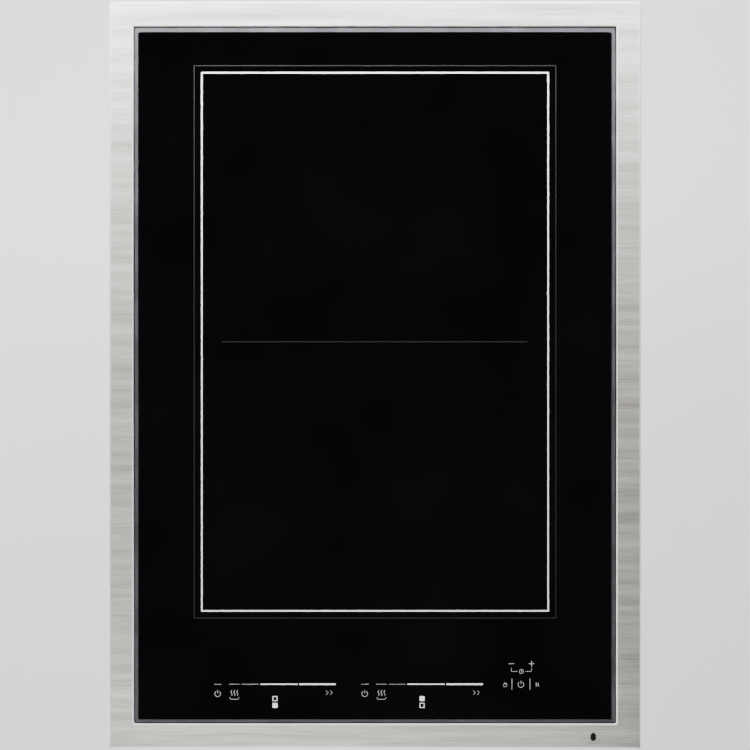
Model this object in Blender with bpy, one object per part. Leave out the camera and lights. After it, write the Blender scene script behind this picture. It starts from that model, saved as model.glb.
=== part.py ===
"""A narrow built-in induction cooktop: two bridged zones under one glass, in a steel trim frame.

Run it with blender --background --python part.py, or from Blender's text editor.
Metres, +Z up. +X is the cook's right, and the touch controls are at the front, -Y.
Z = 0 is the underside of the burner box. The trim frame's face is the top.
"""

import math

import bmesh
import bpy
from mathutils import Matrix, Vector

MM = 0.001

# Overall sizes
FRAME_WIDTH = 384.0 * MM
FRAME_DEPTH = 539.0 * MM
HEIGHT = 72.0 * MM

# Fits
GAP = 0.3 * MM  # kept between neighbouring pieces
SCREW_GAP = 0.4 * MM  # round a screw's shank, on the radius
SLIDE_GAP = 1.0 * MM  # round a pin or sensor that slides, on the radius

# Trim frame, folded from one sheet
FRAME_SHEET = 0.9 * MM
FRAME_FACE = 17.7 * MM  # outer edge to inner lip
FRAME_FLANGE = 5.4 * MM  # how far the outer edge is folded down
FRAME_LIP = 5.8 * MM  # how far the inner lip goes down to the ledge
FRAME_LEDGE = 11.3 * MM  # ledge that the glass is bonded to
FRAME_FOLD = 1.0 * MM  # outside radius of the folds
FRAME_OUTER_CORNER = 2.0 * MM
FRAME_INNER_CORNER = 1.0 * MM

# Glass and its joint
GLASS_THICKNESS = 4.0 * MM
GLASS_JOINT_SIDE = 3.3 * MM  # inner lip to the glass
GLASS_JOINT_REAR = 4.3 * MM
GLASS_JOINT_FRONT = 2.8 * MM
GLASS_CORNER = 1.5 * MM
GLASS_CHAMFER = 0.3 * MM
SEALANT_RECESS = 0.4 * MM  # below the face of the glass
GROOVE_WIDTH = 0.9 * MM  # next to the lip, where the joint is tooled lower
GROOVE_DEPTH = 2.4 * MM

# Worktop gasket
GASKET_INSET = 1.4 * MM
GASKET_WIDTH = 12.6 * MM
GASKET_PROUD = 0.6 * MM  # below the frame's flange

# Burner box
BOX_SHEET = 1.0 * MM
BOX_INSET = 24.0 * MM  # frame's outer edge to the box's wall
BOX_FLANGE = 5.0 * MM
BOX_CORNER = 4.0 * MM
VENT_SLOT = (3.0 * MM, 28.0 * MM)
VENT_PITCH = 7.0 * MM
VENT_COUNT = 9
INLET_SLOT_WIDTH = 4.0 * MM
INLET_PITCH = 8.0 * MM
INLET_RIM = 2.0 * MM  # slot's end to the edge of the fan's inlet
STUD_RADIUS = 3.5 * MM
STUD_INSET = 6.0 * MM  # board's edge to the stud's axis
BOARD_STUD_HEIGHT = 5.0 * MM

# Brackets between the frame and the box
BRACKET_SHEET = 1.2 * MM
BRACKET_WIDTH = 30.0 * MM
BRACKET_DROP = 19.0 * MM
BRACKET_REACH = 9.1 * MM
BRACKET_FROM_END = 95.0 * MM  # box's end wall to the bracket's middle
SCREW_RADIUS = 2.0 * MM
SCREW_HEAD_RADIUS = 4.0 * MM
SCREW_HEAD_HEIGHT = 2.2 * MM
SCREW_LENGTH = 6.0 * MM
SCREW_POINT = 0.7  # tip's share of the shank's radius
SCREW_HEAD_EDGE = 0.5  # share of the head's height that is upright
SCREW_HEAD_TOP = 0.75  # flat top's share of the head's radius
BOX_SCREW_DROP = 8.5 * MM  # box's rim to the screw's axis

# Worktop clamps
CLAMP_SHEET = 2.0 * MM
CLAMP_WIDTH = 36.0 * MM
CLAMP_LEG_TOP = 24.0 * MM
CLAMP_LEG_BOTTOM = 8.0 * MM
CLAMP_REACH = 22.2 * MM
CLAMP_SCREW_OUT = 16.5 * MM  # box's wall to the clamp screw's axis
CLAMP_SCREW_RADIUS = 2.5 * MM
CLAMP_HEAD_RADIUS = 5.2 * MM
CLAMP_HEAD_BOTTOM = 2.0 * MM
CLAMP_HEAD_HEIGHT = 4.0 * MM
CLAMP_FIXING_HEIGHT = 14.5 * MM
PAD_RADIUS = 6.0 * MM
PAD_HEIGHT = 4.5 * MM
PAD_REST_TOP = 30.0 * MM
PAD_POCKET = 2.4 * MM
PAD_CHAMFER = 0.8 * MM

# Coils
COIL_LENGTH = 232.0 * MM
COIL_WIDTH = 176.0 * MM
COIL_CORNER = 60.0 * MM
COIL_BUILD = 54.0 * MM  # width of the wound band
WINDING_HEIGHT = 4.0 * MM
CARRIER_RIM = 3.0 * MM
CARRIER_THICKNESS = 3.5 * MM
MICA_THICKNESS = 0.8 * MM
COIL_PITCH = 194.8 * MM
REAR_COIL_FROM_WALL = 123.3 * MM
COIL_SPACE = 23.0 * MM  # coil plate to glass
FERRITE = (58.0 * MM, 15.0 * MM, 5.0 * MM)
FERRITE_OUT = 72.0 * MM
FERRITE_SIDE = (28.0 * MM, 55.0 * MM)
PIN_RADIUS = 3.0 * MM
PIN_BELOW_PLATE = 2.0 * MM
PIN_PLACES = ((-85.0 * MM, -58.0 * MM), (85.0 * MM, -58.0 * MM), (0.0, 74.0 * MM))
SPRING_RADIUS = 6.0 * MM
SPRING_WIRE = 0.6 * MM  # radius
SPRING_TURNS = 4
SENSOR_RADIUS = 6.0 * MM
SENSOR_STEM_RADIUS = 3.0 * MM
SENSOR_HEAD = 4.2 * MM
SENSOR_LENGTH = 14.2 * MM

# Coil plate
PLATE_SHEET = 1.5 * MM
PLATE_SIDE_GAP = 5.5 * MM  # to the box's walls
PLATE_REAR_GAP = 9.0 * MM
PLATE_DEPTH = 425.0 * MM
WINDOW_SIZE = (46.0 * MM, 24.0 * MM)
WINDOW_COUNT = 6

# Electronics
BOARD_THICKNESS = 1.6 * MM
POWER_BOARD = (182.0 * MM, 226.0 * MM)
POWER_BOARD_FROM_SIDE = 10.0 * MM  # coil plate's outside to the board
POWER_BOARD_FORWARD = 18.8 * MM  # board's middle from the middle of the fan's mouth
HEAT_SINK = (118.0 * MM, 44.0 * MM, 26.0 * MM)
HEAT_SINK_BASE = 4.0 * MM
HEAT_SINK_FINS = 9
FIN_THICKNESS = 1.4 * MM
CAPACITOR = (42.0 * MM, 24.0 * MM, 25.0 * MM)
CAPACITOR_CORNER = 2.0 * MM
CAPACITOR_PLACE = (45.5 * MM, 46.0 * MM)  # from the board's middle and the heat sink's middle
FILTER_BOARD = (96.0 * MM, 92.0 * MM)
FILTER_BOARD_FROM_SIDE = 18.0 * MM
FILTER_BOARD_FROM_REAR = 268.0 * MM
CHOKE_RADIUS = 17.0 * MM
CHOKE_TUBE = 8.0 * MM
TERMINAL = (58.0 * MM, 26.0 * MM, 22.0 * MM)
TERMINAL_STEP = (10.0 * MM, 12.0 * MM)  # depth and height of the step that the wires enter over
TERMINAL_FROM_SIDE = 26.0 * MM
TERMINAL_FROM_REAR = 26.0 * MM
TERMINAL_LID = 1.6 * MM
CONDUIT_RADIUS = 8.0 * MM
CONDUIT_WALL = 2.0 * MM
CONDUIT_FLANGE_RADIUS = 14.0 * MM
CONDUIT_FLANGE = 2.5 * MM  # thick
CONDUIT_TAIL = 5.0 * MM  # inside the wall
CONDUIT_HEIGHT = 28.0 * MM

# Fan
FAN_FROM_SIDE = 64.0 * MM
FAN_FROM_REAR = 185.0 * MM
FAN_BOTTOM = 1.3 * MM
FAN_HEIGHT = 31.0 * MM
FAN_WALL = 1.5 * MM
VOLUTE_START = 41.0 * MM
VOLUTE_END = 56.0 * MM
TONGUE_ANGLE = -62.0  # degrees, where the volute begins
MOUTH_LENGTH = 68.0 * MM
MOUTH_SIDE = 22.0 * MM  # the mouth's inner side, from the axis
FAN_INLET_RADIUS = 27.0 * MM
IMPELLER_RADIUS = 37.0 * MM
IMPELLER_EYE = 29.0 * MM
IMPELLER_HEIGHT = 15.0 * MM
IMPELLER_DISC = 1.5 * MM
BLADE_COUNT = 15
BLADE_THICKNESS = 1.2 * MM
BLADE_LEAN = 35.0  # degrees
HUB_RADIUS = 5.0 * MM
HUB_DROP = 5.0 * MM  # below the impeller's disc
MOTOR_RADIUS = 14.0 * MM
MOTOR_HEIGHT = 8.0 * MM
SHAFT_RADIUS = 1.5 * MM
SHAFT_BELOW_DISC = 6.0 * MM

# Touch controls
TOUCH_WIDTH = 300.0 * MM
TOUCH_DEPTH = 42.0 * MM
TOUCH_HEIGHT = 11.0 * MM
TOUCH_WALL = 1.5 * MM
TOUCH_LEG = 7.0 * MM
TOUCH_FROM_LEDGE = 1.0 * MM
TOUCH_BOARD_BELOW_GLASS = 6.0 * MM
DISPLAY = (196.0 * MM, 9.0 * MM, 4.0 * MM)
DISPLAY_FROM_FRONT = 16.0 * MM  # tray's front to the display's middle
DISPLAY_LEFT = 19.5 * MM  # of the middle of the tray
RIBBON_WIDTH = 22.0 * MM
RIBBON_X = 50.0 * MM  # right of the middle
RIBBON_THICKNESS = 0.9 * MM
RIBBON_LAP = 8.0 * MM  # over the power board's front edge

# Heights worked out from the frame's face down
LEDGE_TOP = HEIGHT - FRAME_LIP
LEDGE_BOTTOM = LEDGE_TOP - FRAME_SHEET
GLASS_BOTTOM = LEDGE_TOP + GAP
GLASS_FACE = GLASS_BOTTOM + GLASS_THICKNESS
FLANGE_BOTTOM = HEIGHT - FRAME_FLANGE
WORKTOP = FLANGE_BOTTOM - GASKET_PROUD
BRACKET_TOP = LEDGE_BOTTOM - GAP
BOX_TOP = BRACKET_TOP - BRACKET_SHEET - GAP
MICA_TOP = GLASS_BOTTOM - GAP
WINDING_TOP = MICA_TOP - MICA_THICKNESS - GAP
CARRIER_TOP = WINDING_TOP - WINDING_HEIGHT - GAP
CARRIER_BOTTOM = CARRIER_TOP - CARRIER_THICKNESS
FERRITE_TOP = CARRIER_BOTTOM - GAP
PLATE_TOP = GLASS_BOTTOM - COIL_SPACE
PLATE_BOTTOM = PLATE_TOP - PLATE_SHEET
BOARD_BOTTOM = BOX_SHEET + BOARD_STUD_HEIGHT + GAP
BOARD_TOP = BOARD_BOTTOM + BOARD_THICKNESS

# The glass, which lies a little forward of the frame's middle
OPENING_X = FRAME_WIDTH / 2 - FRAME_FACE
OPENING_Y = FRAME_DEPTH / 2 - FRAME_FACE
GLASS_X = OPENING_X - GLASS_JOINT_SIDE
GLASS_Y = OPENING_Y - (GLASS_JOINT_REAR + GLASS_JOINT_FRONT) / 2
GLASS_MIDDLE = (0, (GLASS_JOINT_FRONT - GLASS_JOINT_REAR) / 2)

# Places worked out from the box's walls
BOX_X = FRAME_WIDTH / 2 - BOX_INSET  # outer face of the side wall
BOX_Y = FRAME_DEPTH / 2 - BOX_INSET  # outer face of the end wall
ROOM_X = BOX_X - BOX_SHEET
ROOM_Y = BOX_Y - BOX_SHEET
LEDGE_Y = OPENING_Y - FRAME_LEDGE
PLATE_X = ROOM_X - PLATE_SIDE_GAP
PLATE_REAR = ROOM_Y - PLATE_REAR_GAP
REAR_COIL_Y = ROOM_Y - REAR_COIL_FROM_WALL
COILS = {"rear": REAR_COIL_Y, "front": REAR_COIL_Y - COIL_PITCH}
FAN_CENTRE = Vector((FAN_FROM_SIDE - BOX_X, BOX_Y - FAN_FROM_REAR, 0))
FAN_TOP = FAN_BOTTOM + FAN_HEIGHT
MOUTH_MIDDLE_Y = FAN_CENTRE.y - (MOUTH_SIDE + VOLUTE_END) / 2
CONDUIT_X = BOX_X - TERMINAL_FROM_SIDE - TERMINAL[0] / 2
BRACKET_Y = BOX_Y - BRACKET_FROM_END
SIDES = {"left": -1, "right": 1}
ENDS = {"front": -1, "rear": 1}

FINISHES = {  # sRGB colour, roughness, metallic
    "brushed_stainless": ("B9B8B6", 0.32, 1.0),
    "black_glass": ("070707", 0.05, 0.0),
    "grey_silicone": ("7A7880", 0.55, 0.0),
    "black_foam": ("1E1E1F", 0.95, 0.0),
    "galvanised_steel": ("A3A7A8", 0.45, 1.0),
    "zinc_plated_steel": ("B5B2A6", 0.35, 1.0),
    "aluminium_sheet": ("C4C5C7", 0.4, 1.0),
    "copper_litz": ("9A4B22", 0.5, 0.6),
    "black_nylon": ("1B1B1C", 0.6, 0.0),
    "white_nylon": ("D9D6CC", 0.55, 0.0),
    "mica": ("A99A78", 0.5, 0.0),
    "ferrite": ("35353A", 0.6, 0.2),
    "spring_steel": ("8C8D8F", 0.35, 1.0),
    "ceramic_sensor": ("E6E2D8", 0.5, 0.0),
    "green_laminate": ("1F5A34", 0.5, 0.0),
    "black_rubber": ("161616", 0.8, 0.0),
    "capacitor_case": ("3B3D45", 0.45, 0.0),
    "choke_winding": ("A85A28", 0.4, 0.7),
    "display_diffuser": ("C9C9C4", 0.5, 0.0),
    "grey_ribbon": ("9B9EA3", 0.6, 0.0),
}


def srgb_to_linear(value):
    if value <= 0.04045:
        return value / 12.92
    return ((value + 0.055) / 1.055) ** 2.4


def finish_material(name):
    """The Principled material of this finish, made the first time it is asked for."""
    material = bpy.data.materials.get(name)
    if material:
        return material
    colour, roughness, metallic = FINISHES[name]
    channels = [srgb_to_linear(int(colour[i : i + 2], 16) / 255) for i in (0, 2, 4)]
    material = bpy.data.materials.new(name)
    material.use_nodes = True
    shader = material.node_tree.nodes["Principled BSDF"]
    shader.inputs["Base Color"].default_value = (*channels, 1.0)
    shader.inputs["Roughness"].default_value = roughness
    shader.inputs["Metallic"].default_value = metallic
    return material


def make_object(name, bm, pivot=(0, 0, 0)):
    """Turns a bmesh in world coordinates into an object whose origin is at the pivot."""
    bmesh.ops.remove_doubles(bm, verts=bm.verts, dist=0.001 * MM)
    bmesh.ops.recalc_face_normals(bm, faces=bm.faces)
    bmesh.ops.translate(bm, verts=bm.verts, vec=-Vector(pivot))
    mesh = bpy.data.meshes.new(name)
    bm.to_mesh(mesh)
    bm.free()
    mesh.shade_smooth()
    mesh.set_sharp_from_angle(angle=math.radians(35))
    item = bpy.data.objects.new(name, mesh)
    item.location = pivot
    bpy.context.scene.collection.objects.link(item)
    return item


def add_part(name, finish, bm, pivot=(0, 0, 0)):
    part = make_object(name, bm, pivot)
    part.data.materials.append(finish_material(finish))
    return part


def apply_tool(part, label, bm, operation="DIFFERENCE"):
    """Cuts a part with a hidden tool, or joins the tool to it."""
    tool = make_object(f"{part.name}_{label}", bm)
    tool.hide_render = True
    tool.display_type = "WIRE"
    modifier = part.modifiers.new(label, "BOOLEAN")
    modifier.operation = operation
    modifier.object = tool


def rounded_rectangle(half_x, half_y, radius, centre=(0, 0), steps=4):
    """Points round a rectangle with round corners, anticlockwise."""
    points = []
    for quarter, (side, end) in enumerate(((1, 1), (-1, 1), (-1, -1), (1, -1))):
        for step in range(steps + 1):
            angle = math.radians(90) * (quarter + step / steps)
            x = side * (half_x - radius) + radius * math.cos(angle)
            y = end * (half_y - radius) + radius * math.sin(angle)
            points.append((centre[0] + x, centre[1] + y))
    return points


def circle(radius, centre=(0, 0), steps=20):
    turns = [math.tau * step / steps for step in range(steps)]
    return [(centre[0] + radius * math.cos(t), centre[1] + radius * math.sin(t)) for t in turns]


def arc(centre, radius, start, end, steps):
    """Points on an arc between two angles in degrees."""
    turns = [math.radians(start + (end - start) * step / steps) for step in range(steps + 1)]
    return [(centre[0] + radius * math.cos(t), centre[1] + radius * math.sin(t)) for t in turns]


def rectangle(low, high):
    return [(low[0], low[1]), (high[0], low[1]), (high[0], high[1]), (low[0], high[1])]


def add_prism(bm, outline, start, end, along="Z"):
    """Extrudes an outline. Along X it is read as (y, z), along Y as (x, z), along Z as (x, y)."""
    places = {
        "X": lambda u, v: (start, u, v),
        "Y": lambda u, v: (u, start, v),
        "Z": lambda u, v: (u, v, start),
    }
    steps = {"X": (end - start, 0, 0), "Y": (0, end - start, 0), "Z": (0, 0, end - start)}
    face = bm.faces.new([bm.verts.new(places[along](u, v)) for u, v in outline])
    extruded = bmesh.ops.extrude_face_region(bm, geom=[face])
    moved = [item for item in extruded["geom"] if isinstance(item, bmesh.types.BMVert)]
    bmesh.ops.translate(bm, verts=moved, vec=steps[along])


def add_block(bm, low, high):
    add_prism(bm, rectangle(low, high), low[2], high[2])


def add_loft(bm, loops, closed):
    """Walls between loops of equally many points. An open loft is capped at both ends."""
    rings = [[bm.verts.new(point) for point in points] for points in loops]
    if closed:
        rings.append(rings[0])
    else:
        bm.faces.new(rings[0])
        bm.faces.new(rings[-1])
    for first, second in zip(rings, rings[1:]):
        for i in range(len(first)):
            bm.faces.new((first[i - 1], first[i], second[i], second[i - 1]))


def add_turned(bm, profile, centre=(0, 0), steps=20, closed=True):
    """Spins a profile of (radius, height) round a vertical axis. An open one starts and ends on it."""
    verts = [bm.verts.new((centre[0] + radius, centre[1], height)) for radius, height in profile]
    first = 0 if closed else 1
    edges = [bm.edges.new((verts[i - 1], verts[i])) for i in range(first, len(verts))]
    bmesh.ops.spin(
        bm,
        geom=verts + edges,
        cent=(centre[0], centre[1], 0),
        axis=(0, 0, 1),
        angle=math.tau,
        steps=steps,
        use_merge=True,
    )
    bmesh.ops.remove_doubles(bm, verts=bm.verts, dist=0.001 * MM)


def lay_along_x(bm, place, side):
    """Turns a piece made upright so that its top points outwards along X, at a place."""
    turn = Matrix.Rotation(math.radians(90) * side, 4, "Y")
    bmesh.ops.transform(bm, matrix=Matrix.Translation(place) @ turn, verts=bm.verts)


def frame_section(section):
    """Loops round the frame, from points of (inset from its outer edge, height, corner radius)."""
    loops = []
    for inset, height, radius in section:
        outline = rounded_rectangle(FRAME_WIDTH / 2 - inset, FRAME_DEPTH / 2 - inset, radius)
        loops.append([(x, y, height) for x, y in outline])
    return loops


def make_trim_frame():
    fold = FRAME_FOLD
    outer = arc((fold, HEIGHT - fold), fold, 180, 90, 3)
    inner = arc((FRAME_FACE - fold, HEIGHT - fold), fold, 90, 0, 3)
    ledge_end = FRAME_FACE + FRAME_LEDGE
    thick = FRAME_SHEET
    outline = [
        (0, FLANGE_BOTTOM),
        *outer,
        *inner,
        (FRAME_FACE, LEDGE_TOP),
        (ledge_end, LEDGE_TOP),
        (ledge_end, LEDGE_BOTTOM),
        (FRAME_FACE - thick, LEDGE_BOTTOM),
        (FRAME_FACE - thick, HEIGHT - thick),
        (thick, HEIGHT - thick),
        (thick, FLANGE_BOTTOM),
    ]
    middle = FRAME_FACE / 2
    section = []
    for inset, height in outline:
        corner = FRAME_OUTER_CORNER if inset < middle else FRAME_INNER_CORNER
        section.append((inset, height, corner))
    bm = bmesh.new()
    add_loft(bm, frame_section(section), closed=True)
    add_part("trim_frame", "brushed_stainless", bm)


def glass_loop(outset, height):
    """A loop this far outside the glass's edge, or inside it if the outset is negative."""
    corner = GLASS_CORNER + outset
    outline = rounded_rectangle(GLASS_X + outset, GLASS_Y + outset, corner, GLASS_MIDDLE)
    return [(x, y, height) for x, y in outline]


def make_glass():
    levels = [
        (-GLASS_CHAMFER, GLASS_BOTTOM),
        (0, GLASS_BOTTOM + GLASS_CHAMFER),
        (0, GLASS_FACE - GLASS_CHAMFER),
        (-GLASS_CHAMFER, GLASS_FACE),
    ]
    bm = bmesh.new()
    add_loft(bm, [glass_loop(outset, height) for outset, height in levels], closed=False)
    add_part("glass_top", "black_glass", bm)


def make_sealant():
    """A silicone joint, tooled into a groove next to the lip."""
    lip = FRAME_FACE + GAP
    step = FRAME_FACE + GROOVE_WIDTH
    top = GLASS_FACE - SEALANT_RECESS
    bottom = LEDGE_TOP + GAP
    outer = [
        (lip, bottom),
        (lip, top - GROOVE_DEPTH + GAP),
        (step, top - GROOVE_DEPTH),
        (step, top - GAP),
        (step + GAP, top),
    ]
    loops = frame_section([(inset, height, GLASS_CORNER) for inset, height in outer])
    loops += [glass_loop(GAP, top), glass_loop(GAP, bottom)]
    bm = bmesh.new()
    add_loft(bm, loops, closed=True)
    add_part("glass_sealant", "grey_silicone", bm)


def make_gasket():
    inner = GASKET_INSET + GASKET_WIDTH
    top = HEIGHT - FRAME_SHEET - GAP
    section = [(GASKET_INSET, WORKTOP), (GASKET_INSET, top), (inner, top), (inner, WORKTOP)]
    bm = bmesh.new()
    loops = frame_section([(i, z, FRAME_OUTER_CORNER) for i, z in section])
    add_loft(bm, loops, closed=True)
    add_part("worktop_gasket", "black_foam", bm)


def stud_places(centre, size):
    """Where a board is held, near its four corners."""
    half_x = size[0] / 2 - STUD_INSET
    half_y = size[1] / 2 - STUD_INSET
    return [(centre[0] + sx * half_x, centre[1] + sy * half_y) for sx in (-1, 1) for sy in (-1, 1)]


def power_board_centre():
    x = PLATE_X - POWER_BOARD_FROM_SIDE - POWER_BOARD[0] / 2
    return (x, MOUTH_MIDDLE_Y - POWER_BOARD_FORWARD)


def filter_board_centre():
    x = FILTER_BOARD_FROM_SIDE - BOX_X + FILTER_BOARD[0] / 2
    return (x, BOX_Y - FILTER_BOARD_FROM_REAR - FILTER_BOARD[1] / 2)


def make_burner_box():
    corner = BOX_CORNER
    flange = BOX_FLANGE
    levels = [
        (0, 0, corner),
        (0, BOX_TOP - BOX_SHEET, corner),
        (-flange, BOX_TOP - BOX_SHEET, corner + flange),
        (-flange, BOX_TOP, corner + flange),
        (BOX_SHEET, BOX_TOP, corner - BOX_SHEET),
        (BOX_SHEET, BOX_SHEET, corner - BOX_SHEET),
    ]
    loops = []
    for inset, height, radius in levels:
        outline = rounded_rectangle(BOX_X - inset, BOX_Y - inset, radius)
        loops.append([(x, y, height) for x, y in outline])
    bm = bmesh.new()
    add_loft(bm, loops, closed=False)
    box = add_part("burner_box", "galvanised_steel", bm)

    studs = bmesh.new()
    places = stud_places(power_board_centre(), POWER_BOARD)
    places += stud_places(filter_board_centre(), FILTER_BOARD)
    for place in places:
        add_prism(studs, circle(STUD_RADIUS, place, 10), BOX_SHEET / 2, BOX_SHEET + BOARD_STUD_HEIGHT)
    apply_tool(box, "studs", studs, "UNION")
    apply_tool(box, "holes", box_holes())


def box_holes():
    """Tools for the fan's inlet, the air slots, the conduit and the screws."""
    bm = bmesh.new()
    reach = 3 * BOX_SHEET
    rows = int(FAN_INLET_RADIUS // INLET_PITCH)
    for row in range(-rows, rows + 1):
        y = FAN_CENTRE.y + row * INLET_PITCH
        half = math.sqrt(FAN_INLET_RADIUS**2 - (row * INLET_PITCH) ** 2) - INLET_RIM
        low = (FAN_CENTRE.x - half, y - INLET_SLOT_WIDTH / 2, -reach)
        add_block(bm, low, (FAN_CENTRE.x + half, y + INLET_SLOT_WIDTH / 2, reach))
    width, height = VENT_SLOT
    low_z = BOARD_TOP
    first_y = CLAMP_WIDTH / 2 + VENT_PITCH
    for index in range(VENT_COUNT):
        offset = (index - (VENT_COUNT - 1) / 2) * VENT_PITCH
        y = first_y + index * VENT_PITCH
        add_block(bm, (BOX_X - reach, y, low_z), (BOX_X + reach, y + width, low_z + height))
        for x in (-BOX_X / 2 + offset, BOX_X / 2 + offset):
            low = (x, -BOX_Y - reach, low_z)
            add_block(bm, low, (x + width, -BOX_Y + reach, low_z + height))
    hole = circle(CONDUIT_RADIUS + CONDUIT_WALL + GAP, (CONDUIT_X, CONDUIT_HEIGHT))
    add_prism(bm, hole, BOX_Y - reach, BOX_Y + reach, "Y")
    shank = SCREW_RADIUS + SCREW_GAP
    for side in SIDES.values():
        start, end = side * (BOX_X - reach), side * (BOX_X + reach)
        for y, z in screw_places():
            add_prism(bm, circle(shank, (y, z), 12), start, end, "X")
    return bm


def screw_places():
    """(y, z) of the screws through each side wall: two for the brackets and one for the clamp."""
    height = BOX_TOP - BOX_SCREW_DROP
    return [(-BRACKET_Y, height), (BRACKET_Y, height), (0, CLAMP_FIXING_HEIGHT)]


def make_screw(name, place, side, stem):
    """A pan-head screw whose head points outwards. The place is the underside of its head."""
    head = SCREW_HEAD_RADIUS
    top = SCREW_HEAD_HEIGHT
    profile = [
        (0, -stem),
        (SCREW_RADIUS * SCREW_POINT, -stem),
        (SCREW_RADIUS, -stem + SCREW_RADIUS * (1 - SCREW_POINT)),
        (SCREW_RADIUS, 0),
        (head, 0),
        (head, top * SCREW_HEAD_EDGE),
        (head * SCREW_HEAD_TOP, top),
        (0, top),
    ]
    bm = bmesh.new()
    add_turned(bm, profile, steps=12, closed=False)
    lay_along_x(bm, place, side)
    add_part(name, "zinc_plated_steel", bm)


def make_frame_brackets():
    outer = ROOM_X - SCREW_GAP
    inner = outer - BRACKET_SHEET
    bottom = BRACKET_TOP - BRACKET_DROP
    tip = outer - BRACKET_SHEET + BRACKET_REACH
    for end, toward in ENDS.items():
        y = toward * BRACKET_Y
        for side, sign in SIDES.items():
            outline = [
                (sign * inner, bottom),
                (sign * outer, bottom),
                (sign * outer, BRACKET_TOP - BRACKET_SHEET),
                (sign * tip, BRACKET_TOP - BRACKET_SHEET),
                (sign * tip, BRACKET_TOP),
                (sign * inner, BRACKET_TOP),
            ]
            bm = bmesh.new()
            add_prism(bm, outline, y - BRACKET_WIDTH / 2, y + BRACKET_WIDTH / 2, "Y")
            bracket = add_part(f"frame_bracket_{end}_{side}", "galvanised_steel", bm)
            hole = bmesh.new()
            place = (y, BOX_TOP - BOX_SCREW_DROP)
            middle = sign * (inner + outer) / 2
            outline = circle(SCREW_RADIUS + SCREW_GAP, place, 12)
            add_prism(hole, outline, middle - BRACKET_SHEET, middle + BRACKET_SHEET, "X")
            apply_tool(bracket, "hole", hole)
            head = (sign * (BOX_X + GAP), y, BOX_TOP - BOX_SCREW_DROP)
            make_screw(f"box_screw_{end}_{side}", head, sign, SCREW_LENGTH)


def make_clamp(side, sign):
    wall = BOX_X + GAP
    axis_x = sign * (BOX_X + CLAMP_SCREW_OUT)
    top = CLAMP_LEG_TOP
    outline = [
        (sign * wall, CLAMP_LEG_BOTTOM),
        (sign * (wall + CLAMP_SHEET), CLAMP_LEG_BOTTOM),
        (sign * (wall + CLAMP_SHEET), top - CLAMP_SHEET),
        (sign * (wall + CLAMP_REACH), top - CLAMP_SHEET),
        (sign * (wall + CLAMP_REACH), top),
        (sign * wall, top),
    ]
    bm = bmesh.new()
    add_prism(bm, outline, -CLAMP_WIDTH / 2, CLAMP_WIDTH / 2, "Y")
    bracket = add_part(f"clamp_bracket_{side}", "galvanised_steel", bm)
    holes = bmesh.new()
    shank = circle(CLAMP_SCREW_RADIUS + SCREW_GAP, (axis_x, 0), 16)
    add_prism(holes, shank, top - 2 * CLAMP_SHEET, top + CLAMP_SHEET)
    middle = sign * (wall + CLAMP_SHEET / 2)
    fixing = circle(SCREW_RADIUS + SCREW_GAP, (0, CLAMP_FIXING_HEIGHT), 12)
    add_prism(holes, fixing, middle - CLAMP_SHEET, middle + CLAMP_SHEET, "X")
    apply_tool(bracket, "holes", holes)
    head = (sign * (wall + CLAMP_SHEET + GAP), 0, CLAMP_FIXING_HEIGHT)
    make_screw(f"clamp_bracket_screw_{side}", head, sign, SCREW_LENGTH + CLAMP_SHEET)
    make_clamp_screw(side, axis_x)
    make_clamp_pad(side, axis_x)


def make_clamp_screw(side, axis_x):
    head_top = CLAMP_HEAD_BOTTOM + CLAMP_HEAD_HEIGHT
    tip = PAD_REST_TOP - PAD_HEIGHT + PAD_POCKET - GAP
    bm = bmesh.new()
    add_prism(bm, circle(CLAMP_HEAD_RADIUS, (axis_x, 0), 6), CLAMP_HEAD_BOTTOM, head_top)
    pivot = (axis_x, 0, CLAMP_HEAD_BOTTOM)
    screw = add_part(f"clamp_screw_{side}", "zinc_plated_steel", bm, pivot)
    shank = bmesh.new()
    outline = circle(CLAMP_SCREW_RADIUS, (axis_x, 0), 14)
    add_prism(shank, outline, head_top - CLAMP_HEAD_HEIGHT / 2, tip)
    apply_tool(screw, "shank", shank, "UNION")


def make_clamp_pad(side, axis_x):
    """A cap over the screw's tip, with a pocket in its underside."""
    bottom = PAD_REST_TOP - PAD_HEIGHT
    pocket = CLAMP_SCREW_RADIUS + SCREW_GAP
    profile = [
        (0, bottom + PAD_POCKET),
        (pocket, bottom + PAD_POCKET),
        (pocket, bottom),
        (PAD_RADIUS, bottom),
        (PAD_RADIUS, PAD_REST_TOP - PAD_CHAMFER),
        (PAD_RADIUS - PAD_CHAMFER, PAD_REST_TOP),
        (0, PAD_REST_TOP),
    ]
    bm = bmesh.new()
    add_turned(bm, profile, (axis_x, 0), steps=16, closed=False)
    add_part(f"clamp_pad_{side}", "black_rubber", bm, (axis_x, 0, bottom))


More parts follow.
